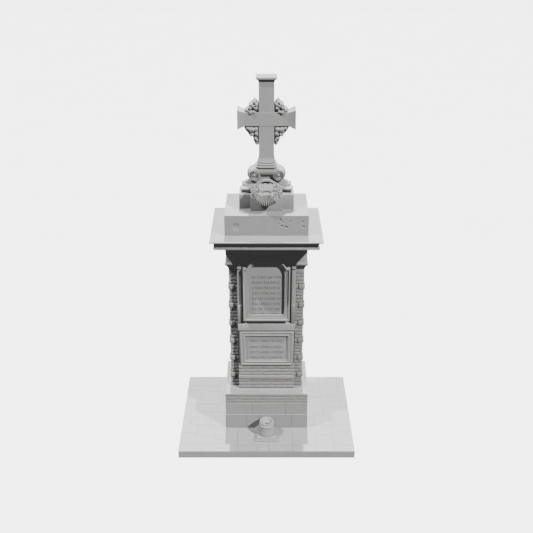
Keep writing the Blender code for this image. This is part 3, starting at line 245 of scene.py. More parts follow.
SMOOTH = smoothing()
ARRIS = {
    "paving_platform": 0.002, "plinth_lower": 0.0, "plinth_upper": 0.0, "plinth_bed": 0.004,
    "attic_block": 0.0, "pedestal": 0.004, "cornice": 0.005, "frieze": 0.003, "sill_band": 0.005,
    "upper_die": 0.004, "lower_die": 0.004, "upper_frame": 0.0025, "lower_frame": 0.0025,
    "vase_plate": 0.0, "pier_capital": 0.003, "cross": 0.004,
}


def dress(name, obj):
    """Give a CAD node its material, worn arrises and smooth curves."""
    obj.data.materials.clear()
    obj.data.materials.append(SLOTS[stone_of(name)])
    weld = obj.modifiers.new("joined", "WELD")
    weld.merge_threshold = 0.00005
    width = next((w for key, w in ARRIS.items() if name.startswith(key)), 0.0)
    if width:
        worn = obj.modifiers.new("arris", "BEVEL")
        worn.width = width
        worn.segments = 2
        worn.limit_method = "ANGLE"
        worn.angle_limit = math.radians(40)
    obj.modifiers.new("shading", "NODES").node_group = SMOOTH


for node_name, node in NODES.items():
    dress(node_name, node)


# Helpers for the pieces made here

def piece(name, bm, slot, replaces=(), smooth=True):
    """A finished piece that rides with the monument."""
    bmesh.ops.recalc_face_normals(bm, faces=bm.faces)
    mesh = bpy.data.meshes.new(name)
    bm.to_mesh(mesh)
    bm.free()
    mesh.materials.append(SLOTS[slot])
    obj = bpy.data.objects.new(name, mesh)
    bpy.context.scene.collection.objects.link(obj)
    if smooth:
        mesh.shade_smooth()
        mesh.set_sharp_from_angle(angle=math.radians(38))
    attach(obj, "root")
    if replaces:
        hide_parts(*replaces)
    return obj


def skin(bm, rings, closed=False):
    """Skin rings of equally many points; cap the ends unless the last joins the first."""
    rows = [[bm.verts.new(point) for point in ring] for ring in rings]
    pairs = list(zip(rows, rows[1:] + (rows[:1] if closed else [])))
    for low, high in pairs:
        for i in range(len(low)):
            j = (i + 1) % len(low)
            bm.faces.new((low[i], low[j], high[j], high[i]))
    if not closed:
        bm.faces.new(rows[0])
        bm.faces.new(rows[-1])


def turned(bm, profile, sides, matrix):
    """Turn a profile of (radius, height) about Z; a radius of zero closes an end."""
    rows = []
    for radius, height in profile:
        count = sides if radius > 0 else 1
        ring = []
        for k in range(count):
            angle = 2 * math.pi * k / sides
            point = (radius * math.cos(angle), radius * math.sin(angle), height)
            ring.append(bm.verts.new(matrix @ Vector(point)))
        rows.append(ring)
    for low, high in zip(rows, rows[1:]):
        for k in range(sides):
            n = (k + 1) % sides
            if len(low) == 1:
                bm.faces.new((low[0], high[n], high[k]))
            elif len(high) == 1:
                bm.faces.new((low[k], low[n], high[0]))
            else:
                bm.faces.new((low[k], low[n], high[n], high[k]))


def brick(bm, low, high, arris=0.0035, wobble=0.0009):
    """One laid brick or block with worn edges, a little out of true."""
    low, high = Vector(low), Vector(high)
    size = high - low
    turn = Matrix.Rotation(RNG.uniform(-0.006, 0.006), 4, "Z")
    place = Matrix.Translation((low + high) / 2) @ turn @ Matrix.Diagonal((*size, 1.0))
    made = bmesh.ops.create_cube(bm, size=1.0, matrix=place)
    edges = list(dict.fromkeys(edge for vert in made["verts"] for edge in vert.link_edges))
    worn = bmesh.ops.bevel(bm, geom=edges, offset=arris, segments=2, affect="EDGES", profile=0.6)
    for vert in worn["verts"]:
        vert.co += noise.noise_vector(vert.co * 23.0) * wobble


def box(bm, low, high):
    low, high = Vector(low), Vector(high)
    place = Matrix.Translation((low + high) / 2) @ Matrix.Diagonal((*(high - low), 1.0))
    bmesh.ops.create_cube(bm, size=1.0, matrix=place)


# The camera, and places seen at a pixel of the 533 x 533 picture

CAMERA = Vector((0.0, -10.9009, 8.589))
PITCH = math.radians(26.7)
FRAME = 533
LENS = 50.0
SENSOR = 36.0
FOCAL = FRAME * LENS / SENSOR


def sight(px, py):
    """Direction in which a pixel looks."""
    across, down = (px - FRAME / 2) / FOCAL, (py - FRAME / 2) / FOCAL
    ahead = Vector((0.0, math.cos(PITCH), -math.sin(PITCH)))
    above = Vector((0.0, math.sin(PITCH), math.cos(PITCH)))
    return ahead + across * Vector((1.0, 0.0, 0.0)) - down * above


def on_level(px, py, z):
    way = sight(px, py)
    return CAMERA + way * ((z - CAMERA.z) / way.z)


def on_front(px, py, y):
    way = sight(px, py)
    return CAMERA + way * ((y - CAMERA.y) / way.y)


# Paving: joints between irregular flags, as (left, right, row) and (column, back, front) pixels

JOINTS_ACROSS = (
    (189, 219.5, 385.6), (189, 202.5, 390.6), (186, 224, 404.1), (210.6, 224, 391.3), (218.5, 223, 396.4),
    (201.3, 226, 412), (183.5, 200, 417.3), (191.5, 213, 424.4), (197, 226, 426.3), (182.5, 196.5, 432.3),
    (200, 215.3, 435.8), (215.3, 220, 439.4), (180.6, 230, 443.6), (214.4, 230, 448.1), (225.6, 309, 445),
    (304.4, 316.5, 445), (316.9, 332.5, 435), (333.5, 351.5, 431.9), (308, 349, 425.1), (333.8, 353, 444.6),
    (314.6, 329, 412.9), (308.8, 314.4, 417.5), (322, 347.5, 407), (308, 338.1, 396.5), (337.5, 345, 386.3),
)
JOINTS_ALONG = (
    (220, 376.8, 390.6), (202.4, 385.6, 403.8), (223.3, 391.3, 404), (218.8, 390.6, 396.3), (217, 404.4, 412),
    (211.3, 412, 424.4), (191.8, 417.3, 424), (196.8, 424.4, 443.1), (215.6, 426.3, 438.8), (220, 439.4, 443.8),
    (200.9, 443.8, 451.5), (237.5, 429, 451.5), (257.5, 445, 451.5), (268.8, 441.9, 451.5), (292.5, 429, 451.5),
    (316.5, 435, 451.5), (332.7, 425.6, 451.5), (314.6, 413.1, 424.4), (322.8, 407.5, 416.3),
    (329.9, 407.5, 412.9), (321.4, 396.9, 406.5), (338.3, 376.8, 406.5), (319.6, 376.8, 395.6),
)
HIDDEN_JOINTS = ((-0.9, 0.9, 0.86), (-0.55, 0.62, 0.62))


def build_paving():
    low, high = (Vector(corner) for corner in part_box("paving_platform"))
    wide, deep, above = 0.0045, 0.006, 0.01
    step = 0.00002
    bm = bmesh.new()
    box(bm, low, high)
    bmesh.ops.bevel(bm, geom=bm.edges[:], offset=0.004, segments=2, affect="EDGES")
    slab = piece("paving_flags", bm, "limestone", ("paving_platform",), False)
    cuts = bmesh.new()
    spans = []
    for left, right, row in JOINTS_ACROSS:
        a, b = on_level(left, row, high.z), on_level(right, row, high.z)
        spans.append((a.x, b.x, a.y - wide / 2, a.y + wide / 2))
    for column, back, front in JOINTS_ALONG:
        x = on_level(column, (back + front) / 2, high.z).x
        a, b = on_level(column, front, high.z), on_level(column, back, high.z)
        spans.append((x - wide / 2, x + wide / 2, a.y, b.y))
    for x0, x1, y in HIDDEN_JOINTS:
        spans.append((x0, x1, y - wide / 2, y + wide / 2))
        for k in range(4):
            x = x0 + (x1 - x0) * (k + 0.5) / 4
            spans.append((x - wide / 2, x + wide / 2, y, high.y + above))
    # Each groove is a hair deeper than the one before, so that no two floors share a plane
    for n, (x0, x1, y0, y1) in enumerate(spans):
        box(cuts, (x0, y0, high.z - deep - step * n), (x1, y1, high.z + above + step * n))
    mesh = bpy.data.meshes.new("joints")
    cuts.to_mesh(mesh)
    cuts.free()
    cutter = bpy.data.objects.new("joints", mesh)
    bpy.context.scene.collection.objects.link(cutter)
    groove = slab.modifiers.new("joints", "BOOLEAN")
    groove.object = cutter
    groove.solver = "EXACT"
    groove.use_self = True
    applied = bpy.data.meshes.new_from_object(slab.evaluated_get(bpy.context.evaluated_depsgraph_get()))
    slab.modifiers.clear()
    slab.data = applied
    bpy.data.objects.remove(cutter)


# Attic block with chipped front; a chip is a pixel, its half width and half height and its depth in
# millimetres, and its slant in degrees

CHIPS = (
    (280.6, 220.0, 16, 28, 16, 25), (283.0, 222.2, 17, 13, 11, 0), (285.6, 219.6, 11, 14, 7, -20),
    (290.4, 221.6, 15, 17, 10, -35), (278.8, 224.0, 17, 13, 7, 30), (281.9, 226.3, 28, 16, 17, -32),
    (286.3, 227.4, 22, 22, 18, 25), (288.6, 225.6, 11, 11, 7, 30), (284.0, 229.2, 16, 8, 5, 0),
    (302.5, 221.8, 20, 16, 12, -8), (303.2, 227.0, 26, 18, 10, -10), (235.8, 227.2, 66, 72, 9, 30),
    (248.7, 218.8, 15, 9, 7, 0), (274.2, 220.5, 12, 6, 3, 0), (246.8, 227.6, 16, 8, 2, 30),
)


def build_attic():
    low, high = (Vector(corner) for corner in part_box("attic_block"))
    columns, rows = 300, 66
    spots = []
    for px, py, wide, tall, deep, slant in CHIPS:
        spots.append((on_front(px, py, low.y), wide / 1000, tall / 1000, deep / 1000, math.radians(slant)))
    bm = bmesh.new()
    grid = []
    for j in range(rows + 1):
        line = []
        for i in range(columns + 1):
            x = low.x + (high.x - low.x) * i / columns
            z = low.z + (high.z - low.z) * j / rows
            depth = 0.0
            for centre, wide, tall, deep, slant in spots:
                dx, dz = x - centre.x, z - centre.z
                u = (dx * math.cos(slant) + dz * math.sin(slant)) / wide
                v = (dz * math.cos(slant) - dx * math.sin(slant)) / tall
                ragged = 1 + 0.35 * noise.noise(Vector((x, z, 3.0)) * 60)
                reach = math.hypot(u, v) * ragged
                if reach < 1:
                    depth = max(depth, deep * (1 - reach ** 2.2))
            if 0 < i < columns and 0 < j < rows:
                depth += 0.0006 * (1 + noise.noise(Vector((x, 0.0, z)) * 14))
            line.append(bm.verts.new((x, low.y + depth, z)))
        grid.append(line)
    for a, b in zip(grid, grid[1:]):
        for i in range(columns):
            bm.faces.new((a[i], a[i + 1], b[i + 1], b[i]))
    corners = ((low.x, low.z), (high.x, low.z), (high.x, high.z), (low.x, high.z))
    back = [bm.verts.new((x, high.y, z)) for x, z in corners]
    bm.faces.new(back)
    bm.faces.new((*grid[0], back[1], back[0]))
    bm.faces.new((*grid[-1], back[2], back[3]))
    bm.faces.new((*[line[0] for line in grid], back[3], back[0]))
    bm.faces.new((*[line[-1] for line in grid], back[2], back[1]))
    piece("carved_attic", bm, "limestone", ("attic_block",))


# Brickwork of the piers, the foot of the bay and the top of the plinth

def pier_courses():
    """(foot, head, is a quoin course) of each course of a pier."""
    courses = []
    z = 0.0
    bricks = 3
    while z < PIER_HEIGHT - COURSE / 2:
        quoin = bricks == 0
        step = QUOIN if quoin else COURSE
        bricks = 4 if quoin else bricks - 1
        step = min(step, PIER_HEIGHT - z)
        if PIER_HEIGHT - (z + step) < COURSE / 2:
            step = PIER_HEIGHT - z
        courses.append((z + JOINT, z + step, quoin))
        z += step
    return courses


def lay(bm, low, high, arris=0.0035):
    """A brick given by two corners in any order."""
    a = [min(p, q) for p, q in zip(low, high)]
    b = [max(p, q) for p, q in zip(low, high)]
    brick(bm, a, b, arris)


def build_piers():
    perpend = 0.005
    header, stretcher, header_and_stretcher = 0.105, 0.21, 0.32
    quoin_wide, quoin_deep, quoin_proud = 0.086, 0.112, 0.014
    front = SETBACK - PIER_HALF_Y
    back = SETBACK + PIER_HALF_Y
    for side, sign in (("left", -1), ("right", 1)):
        bm = bmesh.new()
        for i, (foot, head, quoin) in enumerate(pier_courses()):
            z0, z1 = SHAFT_Z + foot, SHAFT_Z + head
            x0, x1 = sign * PIER_IN, sign * PIER_OUT
            if quoin:
                for face, depth in ((front, quoin_deep), (back, -quoin_deep)):
                    out = math.copysign(quoin_proud, depth)
                    corner = (x1 + sign * quoin_proud, face - out, z0 - 0.004)
                    lay(bm, corner, (x1 - sign * quoin_wide, face + depth, z1), 0.007)
                    inner = x1 - sign * (quoin_wide + perpend)
                    lay(bm, (x0, face, z0), (inner, face + depth, z1 - 0.016))
                lay(bm, (x0, front + 0.121, z0), (x1, SETBACK - perpend / 2, z1 - 0.012))
                lay(bm, (x0, SETBACK + perpend / 2, z0), (x1, back - 0.121, z1 - 0.012))
                continue
            if i % 2:
                cuts = (front, front + header, front + header_and_stretcher, back)
            else:
                cuts = (front, front + stretcher, back - header, back)
            for k, (a, b) in enumerate(zip(cuts, cuts[1:])):
                y0 = a + (perpend / 2 if k else 0.0)
                y1 = b - (perpend / 2 if k < 2 else 0.0)
                shift = RNG.uniform(-0.0015, 0.0015)
                if k != 1 and i % 3 == 1:
                    middle = (x0 + x1) / 2 + RNG.uniform(-0.012, 0.012)
                    lay(bm, (x0, y0, z0), (middle - sign * perpend / 2, y1, z1))
                    lay(bm, (middle + sign * perpend / 2, y0, z0), (x1 + sign * shift, y1, z1))
                else:
                    lay(bm, (x0, y0, z0), (x1 + sign * shift, y1, z1))
        piece(f"bricks_of_pier_{side}", bm, "brick", (f"pier_{side}",))
        core = bmesh.new()
        x0, x1 = sorted((sign * PIER_IN, sign * (PIER_OUT - JOINT_DEPTH)))
        box(core, (x0, front + JOINT_DEPTH, SHAFT_Z + 0.0003), (x1, back - JOINT_DEPTH, SHAFT_Z + PIER_HEIGHT))
        piece(f"mortar_of_pier_{side}", core, "mortar", (), False)


def band_of_bricks(bm, z0, z1, half_x, y_front, y_back, depth, length, offset):
    """One course of bricks along the front and back of a rectangle, with closing bricks at the sides."""
    perpend = 0.003
    for face, sign in ((y_front, 1), (y_back, -1)):
        x = -half_x
        first = True
        while x < half_x - 0.02:
            step = length * (offset if first and offset else RNG.uniform(0.95, 1.05))
            end = min(x + step, half_x)
            if half_x - end < 0.06:
                end = half_x
            jut = RNG.uniform(0.0, 0.0014)
            stop = end - (perpend if end < half_x else 0.0)
            lay(bm, (x, face + sign * jut, z0), (stop, face + sign * depth, z1))
            x = end
            first = False
    span = (y_back - depth) - (y_front + depth)
    count = max(1, round(span / length))
    for sign in (-1, 1):
        for k in range(count):
            y0 = y_front + depth + span * k / count + perpend
            y1 = y_front + depth + span * (k + 1) / count
            if k == count - 1:
                y1 -= perpend
            lay(bm, (sign * half_x, y0, z0), (sign * (half_x - depth), y1, z1))


def build_bay_foot():
    height = 0.0657
    string = 0.074
    back = 2 * SETBACK - BAY_FRONT
    bm = bmesh.new()
    z = SHAFT_Z
    for i in range(7):
        if i == 3:
            lay(bm, (-BAY_HALF, BAY_FRONT - 0.013, z + 0.010), (BAY_HALF, back + 0.013, z + string), 0.006)
            z += string
            continue
        offset = (1.0, 0.5)[i % 2]
        band_of_bricks(bm, z + JOINT, z + height, BAY_HALF, BAY_FRONT, back, 0.1, 0.205, offset)
        z += height
    piece("bricks_of_bay_foot", bm, "brick", ("bay_foot",))
    core = bmesh.new()
    low = (-BAY_HALF + 0.006, BAY_FRONT + JOINT_DEPTH, SHAFT_Z + 0.0003)
    box(core, low, (BAY_HALF - 0.006, back - JOINT_DEPTH, z - 0.0003))
    piece("mortar_of_bay_foot", core, "mortar", (), False)


def build_plinth_bricks():
    low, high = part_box("plinth_brick_courses")
    bm = bmesh.new()
    for i in range(2):
        z = low[2] + i * COURSE
        offset = (0.5, 1.0)[i % 2]
        band_of_bricks(bm, z + JOINT, z + COURSE - 0.0006, high[0], low[1], high[1], 0.105, 0.208, offset)
    piece("bricks_of_plinth", bm, "brick", ("plinth_brick_courses",))
    core = bmesh.new()
    inset = Vector((JOINT_DEPTH, JOINT_DEPTH, 0.0))
    box(core, Vector(low) + inset, Vector(high) - inset)
    piece("mortar_of_plinth", core, "mortar", (), False)


# Rows of short strokes on the front tablets

STROKE_WIDE, STROKE_DEEP = 0.0075, 0.011
BAR_LONG, BAR_DEEP = 0.022, 0.0106
STROKES_SUNK = 0.0018
UPPER_ROW_TOP = 3.070
UPPER_ROW_STEP = 0.0985
LOWER_ROW_TOP = 1.860
LOWER_ROW_STEP = 0.105


def strokes(name, plane, rows):
    """Raised ticks and bars in word-like groups; they spell nothing."""
    bm = bmesh.new()
    for z, height, x_low, x_high in rows:
        x = x_low
        while x < x_high:
            group = RNG.randint(3, 8)
            for _ in range(group):
                if x > x_high:
                    break
                kind = RNG.random()
                tall = height * RNG.uniform(0.86, 1.0)
                lean = RNG.choice((0.0, 0.0, 0.0, 0.25, -0.25))
                place = Matrix.Translation((x, plane, z)) @ Matrix.Rotation(lean, 4, "Y")
                size = Matrix.Diagonal((STROKE_WIDE, STROKE_DEEP, tall, 1.0))
                bmesh.ops.create_cube(bm, size=1.0, matrix=place @ size)
                if kind > 0.55:
                    level = RNG.choice((-0.36, 0.0, 0.36)) * tall
                    place = Matrix.Translation((x + 0.010, plane, z + level))
                    size = Matrix.Diagonal((BAR_LONG, BAR_DEEP, STROKE_WIDE, 1.0))
                    bmesh.ops.create_cube(bm, size=1.0, matrix=place @ size)
                x += RNG.uniform(0.022, 0.034)
            x += 0.020
    bmesh.ops.bevel(bm, geom=bm.edges[:], offset=0.0015, segments=1, affect="EDGES")
    piece(name, bm, "marble", (), False)


def build_strokes():
    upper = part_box("upper_tablet_front")[0][1]
    rows = [(UPPER_ROW_TOP - UPPER_ROW_STEP * k, 0.050, -0.226, 0.232) for k in range(8)]
    strokes("upper_strokes", upper - STROKES_SUNK, rows)
    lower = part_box("lower_tablet_front")[0][1]
    rows = [(LOWER_ROW_TOP, 0.058, -0.275, 0.275)]
    rows += [(LOWER_ROW_TOP - 0.125 - LOWER_ROW_STEP * k, 0.048, -0.275, 0.275) for k in range(3)]
    strokes("lower_strokes", lower - STROKES_SUNK, rows)


# Garland

GARLAND_CENTRE = Vector((0.0, -0.3065, HOOD_FLAT_Z - 0.016))
GARLAND_AXES = Matrix.Translation(GARLAND_CENTRE) @ Matrix.Rotation(math.radians(36), 4, "X")
GARLAND_EDGE = (
    (-90, 0.0, -0.190), (-72, 0.062, -0.182), (-50, 0.124, -0.140), (-28, 0.178, -0.090),
    (-12, 0.214, -0.046), (0, 0.236, 0.000), (18, 0.244, 0.060), (42, 0.186, 0.150),
    (62, 0.120, 0.182), (90, 0.0, 0.186),
)
GARLAND_FLOWERS = ((0.198, 0.046, 0.046), (0.156, 0.112, 0.034), (0.142, -0.046, 0.038),
                   (0.192, -0.034, 0.024), (0.118, 0.036, 0.026), (0.098, -0.086, 0.024),
                   (0.210, 0.100, 0.022), (0.152, 0.014, 0.022))
FAN_PETALS = 11
FAN_SPAN = 88


def garland_edge(turn):
    """The garland's outline at an angle: full and round above, drawn to a point below."""
    degrees = math.degrees(math.asin(max(-1.0, min(1.0, math.sin(turn)))))
    for low, high in zip(GARLAND_EDGE, GARLAND_EDGE[1:]):
        if degrees <= high[0]:
            share = (degrees - low[0]) / (high[0] - low[0])
            x, y = (a + (b - a) * share for a, b in zip(low[1:], high[1:]))
            break
    return Vector((math.copysign(x, math.cos(turn)), y))


def fan(turn):
    """How far a direction lies inside the fan at the foot, and its place across a petal."""
    off = math.degrees(turn) % 360 - 270
    inside = max(0.0, min(1.0, (FAN_SPAN / 2 - abs(off)) / 4))
    return inside, abs(math.cos(math.pi * off / FAN_SPAN * FAN_PETALS))


def garland_height(x, y, turn, share):
    """Height of the carving over the garland's plane."""
    height = 0.030 * math.sin(math.pi * min(1.0, 0.12 + 0.80 * share)) ** 0.6
    inside, across = fan(turn)
    if inside:
        rise = (0.050 * across ** 0.6 - 0.036) * min(1.0, share * 3.0)
        height += inside * (rise + 0.006 * across)
    if y > 0.035 and abs(x) < 0.115:
        height += 0.006 + 0.006 * math.cos(2 * math.pi * x / 0.036)
    else:
        height += 0.006 * math.sin(11 * turn + 5 * share) * (1 - inside)
    for fx, fy, radius in GARLAND_FLOWERS:
        dx, dy = abs(x) - fx, y - fy
        reach = math.hypot(dx, dy) / radius
        if reach < 1.15:
            swirl = math.cos(5 * math.atan2(dy, dx) + 3.0 * reach)
            dome = math.sqrt(max(0.0, 1 - (reach / 1.15) ** 2))
            petal = 0.009 * swirl * min(1.0, 1.6 * reach)
            boss = 0.012 * math.exp(-(reach * 3.4) ** 2) - 0.016 * math.exp(-((reach - 0.42) * 6) ** 2)
            height = max(height, 0.016 + 0.036 * dome + petal + boss)
    return height


def build_garland():
    bm = bmesh.new()
    rings = []
    count, layers = 416, 34
    for k in range(count):
        turn = 2 * math.pi * (k + 0.5) / count
        inside, across = fan(turn)
        edge = garland_edge(turn)
        edge *= 1 + inside * 0.34 * (across ** 0.7 - 0.50) + (1 - inside) * 0.035 * math.sin(20 * turn)
        sine = math.sin(turn)
        hole = Vector((0.060 * math.cos(turn) * (1 + 0.25 * sine), 0.002 + 0.032 * sine))
        ring = []
        for j in range(layers + 1):
            share = j / layers
            flat = hole.lerp(edge, share)
            lift = garland_height(flat.x, flat.y, turn, share)
            lift -= 0.022 * max(0.0, share - 0.86) / 0.14 + 0.012 * max(0.0, 0.08 - share) / 0.08
            ring.append(GARLAND_AXES @ Vector((flat.x, flat.y, lift)))
        for share, lift in ((0.985, -0.012), (0.90, -0.042), (0.45, -0.046), (0.06, -0.040), (0.0, -0.020)):
            flat = hole.lerp(edge, share)
            ring.append(GARLAND_AXES @ Vector((flat.x, flat.y, lift)))
        rings.append(ring)
    skin(bm, rings, closed=True)
    hood_wall = SETBACK - 0.180 + 0.0297
    side = [
        (hood_wall, HOOD_FLAT_Z - 0.024), (-0.402, HOOD_FLAT_Z - 0.125),
        (-0.250, HOOD_FLAT_Z + 0.020), (hood_wall, HOOD_FLAT_Z + 0.060),
    ]
    skin(bm, [[(x, y, z) for y, z in side] for x in (-0.125, 0.125)])
    piece("carved_garland", bm, "pale_limestone", ("garland",))


# Capital with rolled volutes under the cross

def build_capital():
    half = 0.140
    radius = 0.084
    belly = 0.112
    recess = half - 0.032
    reach = 0.188
    eye_z = VOLUTE_Z + 0.1227
    face = [(radius, half - 0.004), (radius - 0.004, half), (radius * 0.92, half)]
    face += [(radius * 0.90, recess), (radius * 0.20, recess), (0.0, recess)]
    shank = [(radius, half - 0.020)]
    for k in range(1, 9):
        turn = math.pi / 2 * k / 8
        shank.append((radius + (belly - radius) * math.sin(turn), (half - 0.022) * math.cos(turn) + 0.002))
    profile = [(r, -h) for r, h in face[::-1]] + [(r, -h) for r, h in shank]
    profile += [(r, h) for r, h in shank[::-1]] + face
    bm = bmesh.new()
    for sign in (-1, 1):
        axle = Matrix.Translation((sign * reach, SETBACK, eye_z)) @ Matrix.Rotation(math.pi / 2, 4, "X")
        turned(bm, profile, 56, axle)
        for end in (-1, 1):
            scroll(bm, Vector((sign * reach, SETBACK + end * half, eye_z)), -sign, end)
    rings = []
    band = ((-0.095, 0.0), (-0.095, 0.112), (-0.116, 0.118), (-0.128, 0.136), (-0.136, 0.168),
            (-0.138, 0.200), (-0.129, 0.229), (-0.110, 0.2388))
    outline = [(y, z) for y, z in band] + [(-y, z) for y, z in band[::-1]]
    for x in (-reach, reach):
        rings.append([(x, SETBACK + y, VOLUTE_Z + 0.0003 + z) for y, z in outline])
    skin(bm, rings)
    piece("carved_capital", bm, "pale_limestone", ("volute_capital",))


def scroll(bm, centre, hand, end):
    """The end of a bolster: a channel cut as a spiral round a raised eye."""
    pitch, rim, eye = 0.0235, 0.078, 0.020
    rings = []
    for i in range(49):
        reach = 0.0006 + (rim - 0.0006) * i / 48
        ring = []
        for k in range(80):
            turn = 2 * math.pi * k / 80
            wave = 0.5 - 0.5 * math.cos(2 * math.pi * (reach - eye) / pitch + hand * turn)
            height = -0.026 * wave ** 0.8 * min(1.0, max(0.0, (rim - reach) / 0.004))
            if reach < eye:
                height = 0.010 * math.sqrt(1 - (reach / eye) ** 2) - 0.004
            spot = Vector((reach * math.cos(turn), end * height, reach * math.sin(turn)))
            ring.append(centre + spot)
        rings.append(ring)
    rings.append([Vector((p.x, centre.y - end * 0.034, p.z)) for p in rings[-1]])
    skin(bm, rings)


# Cross, with foliage carved in its four angles

QUARTERS = ((-1, -1), (1, -1), (1, 1), (-1, 1))


def box_ring(half_x, half_y, z):
    """The four corners of the shaft at a level."""
    return [(a * half_x, SETBACK + b * half_y, z) for a, b in QUARTERS]


def build_cross():
    bm = bmesh.new()
    half_x, half_y = 0.116, 0.098
    head_x, head_y = 0.040, 0.030
    corner = 0.060
    rings = [box_ring(half_x + 0.012, half_y + 0.012, CROSS_Z + 0.0003)]
    for k in range(17):
        flare = 0.012 * (1 - math.sin(math.pi / 2 * k / 16))
        rings.append(box_ring(half_x + flare, half_y + flare, CROSS_Z + 0.096 + 0.075 * k / 16))
    under = CROSS_Z + 1.385 - 0.036
    for k in range(17):
        turn = math.pi / 2 * k / 16
        grow = 1 - math.cos(turn)
        z = under - 0.055 * (1 - math.sin(turn))
        rings.append(box_ring(half_x + head_x * grow, half_y + head_y * grow, z))
    for k in range(7):
        turn = math.pi / 2 * k / 6
        inset = 0.020 * (1 - math.cos(turn))
        z = under + 0.018 + 0.0178 * math.sin(turn)
        rings.append(box_ring(half_x + head_x - inset, half_y + head_y - inset, z))
    skin(bm, rings)
    for k in range(3):
        out = 0.012 + (2 - k) * 0.016
        levels = []
        for j in range(9):
            turn = math.pi * (j / 8 - 0.5)
            levels.append((out + 0.006 * math.cos(turn), 0.016 + 0.0145 * math.sin(turn)))
        ring_set = []
        for grow, z in levels:
            ring = []
            for quarter, (sx, sy) in enumerate(QUARTERS):
                for m in range(8):
                    angle = math.pi * (1 + quarter / 2 + m / 14)
                    x = sx * (half_x + grow - corner) + corner * math.cos(angle)
                    y = sy * (half_y + grow - corner) + corner * math.sin(angle)
                    ring.append((x, SETBACK + y, CROSS_Z + 0.0003 + k * 0.032 + z))
            ring_set.append(ring)
        skin(bm, ring_set)
    tip = 0.439
    sections = [(tip, 0.97), (tip - 0.003, 1.0), (tip - 0.012, 1.0)]
    for k in range(1, 21):
        turn = math.pi / 2 * k / 20
        sections.append((tip - 0.012 - 0.113 * math.sin(turn), 0.95 * (1 - math.sin(turn)) ** 1.2))
    sections += [(-x, share) for x, share in sections[::-1]]
    rings = []
    for x, share in sections:
        y, z = 0.101 + 0.042 * share, 0.103 + 0.041 * share
        rings.append([(x, SETBACK + a * y, ARM_Z + b * z) for a, b in QUARTERS])
    skin(bm, rings)
    obj = piece("carved_cross", bm, "pale_limestone", ("cross",), False)
    worn = obj.modifiers.new("arris", "BEVEL")
    worn.width = 0.0035
    worn.segments = 2
    worn.limit_method = "ANGLE"
    worn.angle_limit = math.radians(50)


# Outline, lobes and drilled eyes of the foliage: away from the shaft, away from the arm, in
# millimetres; a lobe has a radius and a height, an eye a radius
UPPER_LEAF = (
    (63, 192), (98, 150), (148, 122), (132, 100), (158, 74), (140, 58), (208, 44), (196, 0),
    (172, -22), (132, -48), (88, -37), (46, -4), (2, 2), (0, 84), (4, 138), (38, 176),
)
UPPER_LOBES = (
    (62, 158, 36, 30), (112, 122, 36, 34), (34, 116, 34, 30), (84, 92, 30, 36), (132, 62, 34, 36),
    (46, 62, 34, 34), (168, 22, 34, 34), (122, -6, 40, 48), (76, 2, 34, 44), (190, 30, 20, 20),
)
UPPER_EYES = ((72, 122, 9), (60, 84, 8), (134, 90, 8), (96, 40, 10), (150, 42, 7))
LOWER_LEAF = (
    (224, 2), (222, 40), (196, 84), (160, 126), (130, 176), (92, 170), (84, 228), (56, 286),
    (24, 316), (2, 292), (0, 140), (0, 2),
)
LOWER_LOBES = (
    (172, 34, 40, 30), (112, 62, 46, 44), (46, 50, 44, 26), (106, 134, 34, 34), (40, 124, 40, 28),
    (62, 196, 32, 32), (24, 226, 32, 26), (34, 276, 30, 26),
)
LOWER_EYES = ((152, 80, 8), (76, 98, 9), (112, 98, 7), (46, 164, 8), (60, 232, 7))


def carved_depth(u, v, share, lobes, eyes, curl):
    """Half depth of the foliage at a point, in millimetres."""
    depth = 40 + 42 * (1 - share ** 5)
    top = 0.0
    for x, y, radius, height in lobes:
        reach = math.hypot(u - x, v - y) / radius
        if reach < 1:
            vein = 1 + 0.10 * math.cos(5 * math.atan2(v - y, u - x) + 2 * reach)
            top = max(top, height * vein * math.sqrt(1 - reach * reach))
    depth += top
    if curl:
        reach = math.hypot(u - curl[0], v - curl[1])
        turn = math.atan2(v - curl[1], u - curl[0])
        depth += 9 * math.cos(2 * math.pi * reach / 17 - turn) * math.exp(-(reach / 34) ** 4)
    for x, y, radius in eyes:
        depth -= 52 * math.exp(-(math.hypot(u - x, v - y) / radius) ** 2)
    return max(depth, 14)


def along(outline, count):
    """Points round an outline, gathered a little towards its corners."""
    lengths = [math.dist(a, b) for a, b in zip(outline, outline[1:] + outline[:1])]
    edge = []
    for k in range(count):
        run = sum(lengths) * k / count
        n = 0
        while run > lengths[n]:
            run -= lengths[n]
            n += 1
        share = run / lengths[n]
        share = share - 0.12 * math.sin(2 * math.pi * share)
        a, b = outline[n], outline[(n + 1) % len(outline)]
        edge.append([p + (q - p) * share for p, q in zip(a, b)])
    return edge


def build_foliage():
    count, layers = 200, 30
    for side in (-1, 1):
        word = "left" if side < 0 else "right"
        for up in (1, -1):
            outline = UPPER_LEAF if up > 0 else LOWER_LEAF
            lobes = UPPER_LOBES if up > 0 else LOWER_LOBES
            eyes = UPPER_EYES if up > 0 else LOWER_EYES
            curl = None if up > 0 else (112, 62)
            middle = (88, 84) if up > 0 else (66, 90)
            corner = (side * 0.1155, ARM_Z + up * 0.1025)
            edge = along(outline, count)
            bm = bmesh.new()
            rings = []
            for face in (-1, 1):
                shares = [j / layers for j in range(1, layers + 1)]
                for share in shares if face < 0 else shares[::-1]:
                    ring = []
                    for point in edge:
                        u, v = (m + (p - m) * share for m, p in zip(middle, point))
                        y = face * carved_depth(u, v, share, lobes, eyes, curl) / 1000
                        ring.append((corner[0] + side * u / 1000, SETBACK + y, corner[1] + up * v / 1000))
                    rings.append(ring)
            skin(bm, rings)
            piece(f"foliage_{word}_{'upper' if up > 0 else 'lower'}", bm, "pale_limestone")


# Vase

